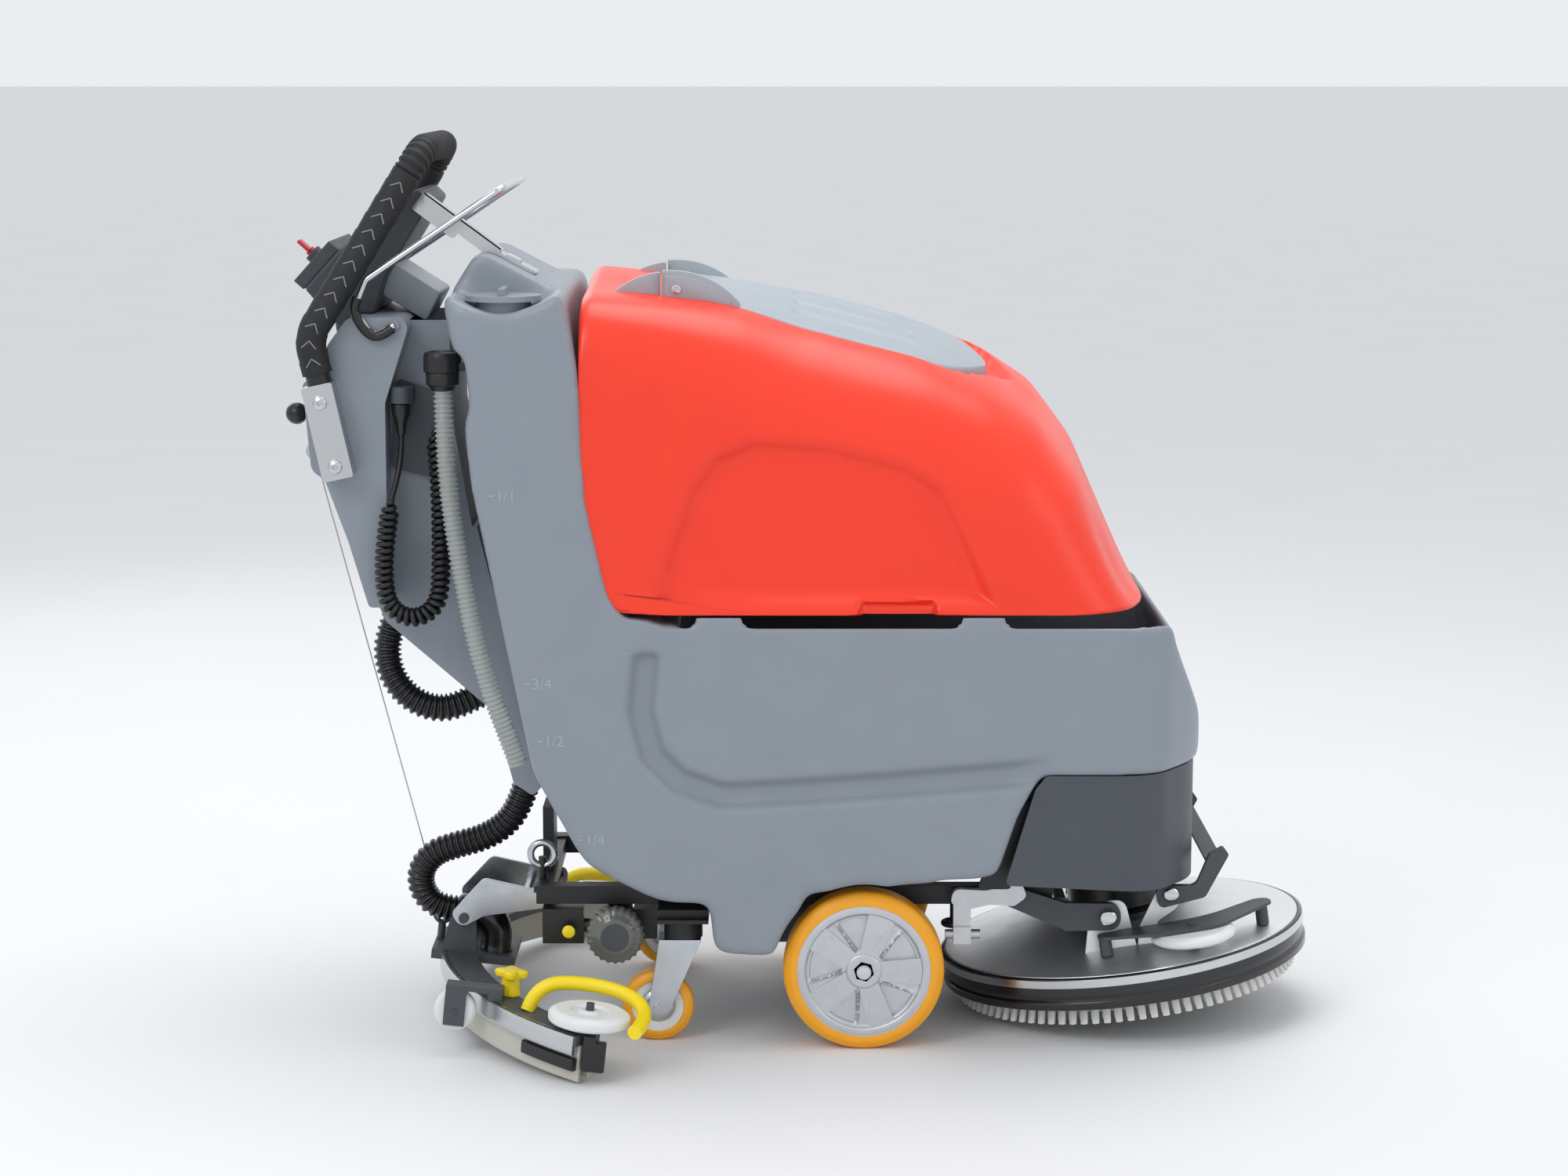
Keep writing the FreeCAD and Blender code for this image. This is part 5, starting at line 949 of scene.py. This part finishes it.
# %% Suction elbow
def elbow():
    """Glossy dome: a tube bent down through a right angle, capped at both ends, with a lip at each end."""
    turn = np.linspace(0, np.pi / 2, 24)
    bend = np.stack([-430 + 30 * np.sin(turn), np.full(24, -26.0), 75 + 30 * np.cos(turn)], 1)
    line = np.concatenate([[(-450, -26, 105), (-440, -26, 105)], bend, [(-400, -26, 66), (-400, -26, 58)]])
    line = even(line, 2.5, closed=False)
    run = np.arange(len(line)) * 2.5
    lip = 1.2 * np.exp(-((run - 4) / 4) ** 2) + 1.4 * np.exp(-((run - run[-1]) / 5) ** 2)
    return tube(line, 21 + lip, 40)


piece("elbow_dome", on_squeegee(elbow()), "squeegee", skirt_rubber, ["suction_elbow"])

# %% [markdown]
# ## Water filter
# The filter's bowl is smoked polycarbonate with grip ribs round it, so its radius swells twenty-four times.

# %% Filter bowl
BOWL_X, BOWL_FACE, BOWL_Z = -229, -202, 135


def bowl_shape():
    """Rings along the bowl's axis whose radius has ribs on the wide part."""
    place = np.array([0.2, 0.4, 1.5, 5, 7, 9, 12, 20, 24, 25.6])
    base = np.array([2.0, 20, 23, 26, 30, 34.5, 35.5, 35.5, 35, 31.0])
    rib = np.array([0, 0, 0, 0.2, 0.5, 1, 1.2, 1.2, 1, 0])
    turn = np.linspace(0, 2 * np.pi, 144, endpoint=False)
    radius = base[:, None] + rib[:, None] * np.cos(24 * turn)
    return grid(np.stack([BOWL_X + radius * np.cos(turn), np.broadcast_to(BOWL_FACE + place[:, None], radius.shape),
                          BOWL_Z + radius * np.sin(turn)], -1))


piece("smoked_bowl", bowl_shape(), "chassis", bowl_smoke, ["filter_bowl"], sharp=60)

# %% [markdown]
# ## Handle
# Black tape is wound round both legs, with a grey printed arrowhead on each turn, and a ribbed sleeve covers the
# crossbar. The tape's edge shows as a low spiral step, so the tube's radius steps as the turn goes round.

# %% Grips
LEG_FOOT = np.array([-562, -184, 722.0])
LEG_BEND = np.array([-597, -184, 883.0])
BAR_END = np.array([-460, -142, 1109.0])
SLEEVE_END = LEG_BEND * 0.13 + BAR_END * 0.87


def corner_arc(before, corner, after, reach):
    """Points round a corner: a parabola between the places a reach before and after it."""
    share = np.linspace(0, 1, 24)[:, None]
    first = corner + (before - corner) / np.linalg.norm(before - corner) * reach
    last = corner + (after - corner) / np.linalg.norm(after - corner) * reach
    return (1 - share) ** 2 * first + 2 * share * (1 - share) * corner + share ** 2 * last


def leg_line(sign):
    """The wrapped part of one leg: up from a little above its foot, round the bend and up to the sleeve."""
    start = LEG_FOOT * 0.28 + LEG_BEND * 0.72
    line = np.concatenate([[start], corner_arc(start, LEG_BEND, BAR_END, 20), [SLEEVE_END]])
    return even(line * (1, -sign, 1), 2, closed=False)


WRAP_REFERENCE = (0.86, 0, -0.51)


TAPE_PITCH = 24
RIB_PITCH = 8.65


def wrapped_leg(sign):
    """Tube with a spiral step: radius = 18.0 + 0.9 x (distance along plus turn, over the tape's pitch) mod 1."""
    line = leg_line(sign)
    points, faces = tube(line, 1.0, 36, WRAP_REFERENCE)
    points = points.reshape(len(line), 36, 3)
    run = (np.arange(len(line)) * 2)[:, None]
    turn = np.arange(36)[None, :] / 36
    radius = 18.0 + 0.9 * ((run / TAPE_PITCH + turn) % 1)
    return (line[:, None] + (points - line[:, None]) * radius[..., None]).reshape(-1, 3), faces


def tape_marks(sign):
    """Printed arrowheads along the outer side of a leg: two thin strips to each mark."""
    line = leg_line(sign)
    shapes = []
    for index in range(10, len(line) - 6, 11):
        ahead = line[index + 1] - line[index]
        ahead /= np.linalg.norm(ahead)
        across = np.cross(ahead, (0, -sign, 0))
        for lean in (-0.75, 0.75):
            way = ahead * math.cos(lean) + across * math.sin(lean)
            reach = np.linspace(-13, 0, 7)[:, None]
            strip = line[index] + way * reach
            height = np.sqrt(np.maximum(18.7 ** 2 - ((strip - line[index]) @ across) ** 2, 1))
            strip = strip + np.array([0, sign, 0]) * height[:, None]
            shapes.append(tube(strip, 0.8, 6, tuple(np.cross(way, (0, 1, 0)) + 0.01)))
    return together(shapes)


def bar_grip():
    """Sleeve round the crossbar and both its bends: radius = 17.3 + 1.1 x a clipped cosine, a rib every 8.65 mm."""
    centre = BAR_END * (1, 0, 1)
    half = np.concatenate([[LEG_BEND * 0.15 + BAR_END * 0.85], corner_arc(LEG_BEND, BAR_END, centre, 34)])
    line = even(np.concatenate([half, (half * (1, -1, 1))[::-1]]), 1.1, closed=False)
    ribs = np.clip(np.cos(2 * np.pi * np.arange(len(line)) * 1.1 / RIB_PITCH) * 2, -1, 1)
    return tube(line, 17.3 + 1.1 * ribs, 36, WRAP_REFERENCE)


piece("tape_wraps", together([wrapped_leg(-1), wrapped_leg(1), bar_grip()]), "chassis", grip_black,
      ["handle_grips"], sharp=50)
piece("tape_prints", together([tape_marks(-1), tape_marks(1)]), "chassis", tape_mark)

# %% Drain cap
CAP = [(2, 817.8), (12.2, 817.8), (13.5, 822), (17, 825), (20, 828), (20.4, 838), (19.6, 840), (22.4, 842), (23, 845),
       (23, 860), (21.5, 864.4), (17, 865.6), (15, 863.5), (2, 863.5)]
piece("drain_plug_cap", turned(CAP, (-434.5, -186, 0), (0, 0, 1), 56), "chassis", black_plastic)


# %% Softened copies
def softened(node, body, material, width, sharp=30):
    """A merged copy of a node with its flat faces joined and its edges rounded by a bevel."""
    item = merged_copy(node, node + "_soft")
    mesh = item.data
    work = bmesh.new()
    work.from_mesh(mesh)
    bmesh.ops.dissolve_limit(work, angle_limit=math.radians(1.0), verts=work.verts, edges=work.edges)
    for face in work.faces:
        face.smooth = True
    for edge in work.edges:
        edge.smooth = not (len(edge.link_faces) == 2 and edge.calc_face_angle(0) > math.radians(sharp))
    work.to_mesh(mesh)
    work.free()
    bevel = item.modifiers.new("round", "BEVEL")
    bevel.width = width * MM
    bevel.segments = 3
    bevel.limit_method = "ANGLE"
    bevel.angle_limit = math.radians(sharp)
    bevel.harden_normals = True
    mesh.materials.append(material)
    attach(item, body)
    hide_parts(node)
    return item


BODY_OF = {node: body for body, members in frame["record"]["behaviour"]["bodies"].items() for node in members}
SOFTENED = (
    ("rear_console", tank_grey, "tank_grey", 5), ("control_housing", cover_dark, "cover_dark", 4),
    ("rear_cowl", tank_grey, "tank_grey", 4), ("front_apron", apron_dark, "apron_dark", 3),
    ("control_panel", cover_dark, "cover_dark", 2), ("filler_cap", tank_grey, "tank_grey", 3),
    ("handle_brackets", sheet_aluminium, "sheet_aluminium", 1.2), ("squeegee_beam", iron_grey, "iron_grey", 1.2),
    ("squeegee_arm", zinc_steel, "zinc_steel", 1),
    ("lift_crank", cast_aluminium, "cast_aluminium", 2), ("deck_irons", iron_grey, "iron_grey", 1),
    ("deck_links", iron_grey, "iron_grey", 1.5), ("caster_fork_right", zinc_steel, "zinc_steel", 0.8),
    ("caster_fork_left", zinc_steel, "zinc_steel", 0.8), ("chassis_frame", frame_black, "frame_black", 1.5),
    ("socket_panel", apron_dark, "apron_dark", 1.5), ("water_valve", black_plastic, "black_plastic", 1.5),
    ("batteries", battery_case, "battery_case", 4), ("transaxle", iron_grey, "iron_grey", 2))
for node, material, slot, width in SOFTENED:
    softened(node, BODY_OF[node], material, width)
print(len(SOFTENED), "softened copies")

# %% [markdown]
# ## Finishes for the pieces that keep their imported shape
# A node's own mesh is left alone; only its material slot is filled.

# %% Finishes on nodes
PLAIN = {
    "handle_tube": frame_black, "drive_rim_right": cast_aluminium, "drive_rim_left": cast_aluminium,
    "ignition_key": key_red, "start_button": black_plastic, "bail_rod": steel_bright, "lift_lever": zinc_steel,
    "ball_knob": black_plastic, "lift_cable": steel_bright,
    "deck_cover": spun_aluminium, "brush_motor": black_plastic, "vacuum_motor": black_plastic,
    "drain_cap": black_plastic, "charger_plug": black_plastic}
for name, node in NODES.items():
    node.data.materials.clear()
    node.data.materials.append(PLAIN.get(name, black_plastic))
print(len(PLAIN), "nodes finished")

# %% [markdown]
# ## Small pieces that finish the machine
# A black sleeve covers the hooked end of the bail. The squeegee's two blades are bands about one centre, held by
# a bright bar and black clamps at their tips. A folded stay holds the panel, and the deck's links show their pins.
# They are tubes, arcs, prisms and turned heads on the bodies they belong to.

# %% Bail sleeves
HOOK = ((-496, 893), (-507, 885), (-519, 882), (-530, 890), (-540, 906), (-543, 918), (-538, 930))
sleeves = [tube(even(smooth_line([(x, sign * 172, z) for x, z in HOOK]), 2, closed=False), 6.2, 20)
           for sign in (-1, 1)]
piece("bail_sleeves", together(sleeves), "bail_rod", black_plastic)


# %% Blades and bars
def arc_bar(outer, inner, low, high, start, end):
    """Bar between two radii about the squeegee's centre: four edges carried from one angle to another."""
    turn = np.radians(180 + np.linspace(start, end, max(8, int(abs(end - start)))))
    corners = rounded([(outer, low, 1), (outer, high, 1), (inner, high, 1), (inner, low, 1)], 3)
    x = SQUEEGEE_CENTRE + corners[None, :, 0] * np.cos(turn)[:, None]
    y = corners[None, :, 0] * np.sin(turn)[:, None]
    return grid(np.stack([x, y, np.broadcast_to(corners[None, :, 1], x.shape)], -1))


def blade_clamp(sign):
    """Rounded block on the blades' tips, a strip behind it and a ribbed head on top."""
    x, y = around(458, 55.6)
    block = rounded([(x - 14, sign * y - 8, 3), (x + 14, sign * y - 8, 3), (x + 14, sign * y + 8, 3),
                     (x - 14, sign * y + 8, 3)], 2)
    head = rounded([(x - 15, sign * y - 8.5, 4), (x + 2, sign * y - 8.5, 4), (x + 2, sign * y + 8.5, 4),
                    (x - 15, sign * y + 8.5, 4)], 2)
    strip = arc_bar(477.5, 469.5, 14, 30, sign * -43, sign * -53.6)
    return together([prism(block, 16, 52, 2, 2), prism(head, 40, 60, 3, 2), strip])


piece("wiper_blades", on_squeegee(together([arc_bar(469, 465, 0, 46, -54, 54), arc_bar(451, 447, 2, 46, -54, 54)])),
      "squeegee", blade_rubber, ["squeegee_blades"])
piece("blade_clamps", on_squeegee(together([blade_clamp(-1), blade_clamp(1)])), "squeegee", black_plastic)
piece("beam_bar", on_squeegee(arc_bar(479.5, 470, 34, 58, -53.5, 53.5)), "squeegee", sheet_aluminium)

# %% Panel stay
TOWER_TOP, SHELF = 989, 942
STAY_TOP, STAY_FOOT = np.array([-462.0, 1056.0]), np.array([-366.0, TOWER_TOP - 4.0])
PLATE_LEAN = math.atan2(TOWER_TOP - SHELF + 10, 108)


def stay_shape():
    """Folded channel: a web down the slope, two flanges under it, deeper at the top, and the latch's plate."""
    way = (STAY_FOOT - STAY_TOP) / np.linalg.norm(STAY_FOOT - STAY_TOP)
    down = np.array([way[1], -way[0]])
    knee = STAY_TOP + way * 62
    side = rounded([(*STAY_TOP, 2), (*STAY_FOOT, 2), (*(STAY_FOOT + 17 * down), 3), (*(knee + 17 * down), 3),
                    (*(knee + 26 * down), 2), (*(STAY_TOP + 26 * down), 2)], 2)
    web = rounded([(*STAY_TOP, 1), (*STAY_FOOT, 1), (*(STAY_FOOT + 2 * down), 1), (*(STAY_TOP + 2 * down), 1)], 2)
    slope = np.array([math.cos(PLATE_LEAN), -math.sin(PLATE_LEAN)])
    lift = np.array([-slope[1], slope[0]])
    start = np.array([-390, TOWER_TOP - 1.2])
    plate, latch = [rounded([(*(start + a * slope), 1), (*(start + b * slope), 1), (*(start + b * slope + h * lift), 1),
                             (*(start + a * slope + h * lift), 1)], 2) for a, b, h in ((0, 73, 4), (30, 50, 8))]
    return together([prism(side, -108, -105.6, 0.5), prism(side, -86.4, -84, 0.5), prism(web, -108, -84, 0.5),
                     prism(plate, -112, -62, 1), prism(latch, -104, -88, 1.5)])


piece("stay_channel", stay_shape(), "chassis", sheet_aluminium, ["panel_strut"])

# %% Painted-shade seam liners, bowl core and lifting eye
# Black plates behind the gap where the hull meets the front apron: painted shade that makes the seam read dark and
# closed.
shade_plates = []
for sign in (-1, 1):
    seam = rounded([(222, 200, 3), (262, 312, 3), (300, 312, 3), (262, 200, 3)], 4)
    shade_plates.append(prism(seam, *sorted((sign * 206, sign * 214)), 1))
piece("seam_shade_liners", together(shade_plates), "chassis", frame_black)
piece("bowl_core", turned([(0, 0.4), (17.5, 0.4), (18.5, -0.4), (18.5, -1.6), (0, -1.6)], (BOWL_X, BOWL_FACE + 0.4, BOWL_Z),
                          (0, -1, 0), 48), "chassis", iron_grey)
wire_turn = np.linspace(0, 2 * np.pi, 20, endpoint=False)
WIRE = np.stack([15 + 4.5 * np.cos(wire_turn), 4.5 * np.sin(wire_turn)], 1)
piece("lifting_eye", ring_of(WIRE, (-325, -104, 219), (0, 1, 0)), "chassis", zinc_steel)

# %% Meter case and valve button
CASE = rounded([(-508, 968, 4), (-447, 929, 5), (-466, 893, 4), (-522, 927, 6)], 3)
piece("meter_case", prism(CASE, -64, 64, 3), "chassis", lid_grey)
piece("valve_button", turned([(0, 0), (8, 0), (8, 2), (6.5, 3.2), (0, 3.4)], (-288, -175.8, 136.5), (0, -1, 0), 36),
      "chassis", knob_yellow)

# %% Pin heads
heads = []
for sign in (-1, 1):
    for x, y, z, radius in ((389.05, 174, 152.96, 10), (467.7, 171, 182.7, 9)):
        heads.append(turned([(0, 0), (radius, 0), (radius, 2), (radius - 2, 3.4), (0, 3.6)], (x, sign * y, z),
                            (0, sign, 0), 28))
piece("deck_pin_heads", together(heads), "deck", steel_bright)

# %% [markdown]
# ## Floor
# A wide pale sheet takes the soft shadows.

# %% Floor
floor_paint = finish("pale_floor", "E6E7E9", "E1E2E5", 0.6, ior=1.45, grain=4, bump=0.01, mottle=400)
floor_mesh = bpy.data.meshes.new("floor")
floor_mesh.from_pydata([(-60, -30, 0), (60, -30, 0), (60, 200, 0), (-60, 200, 0)], [], [(0, 1, 2, 3)])
floor_mesh.materials.append(floor_paint)
floor = bpy.data.objects.new("floor", floor_mesh)
bpy.context.scene.collection.objects.link(floor)
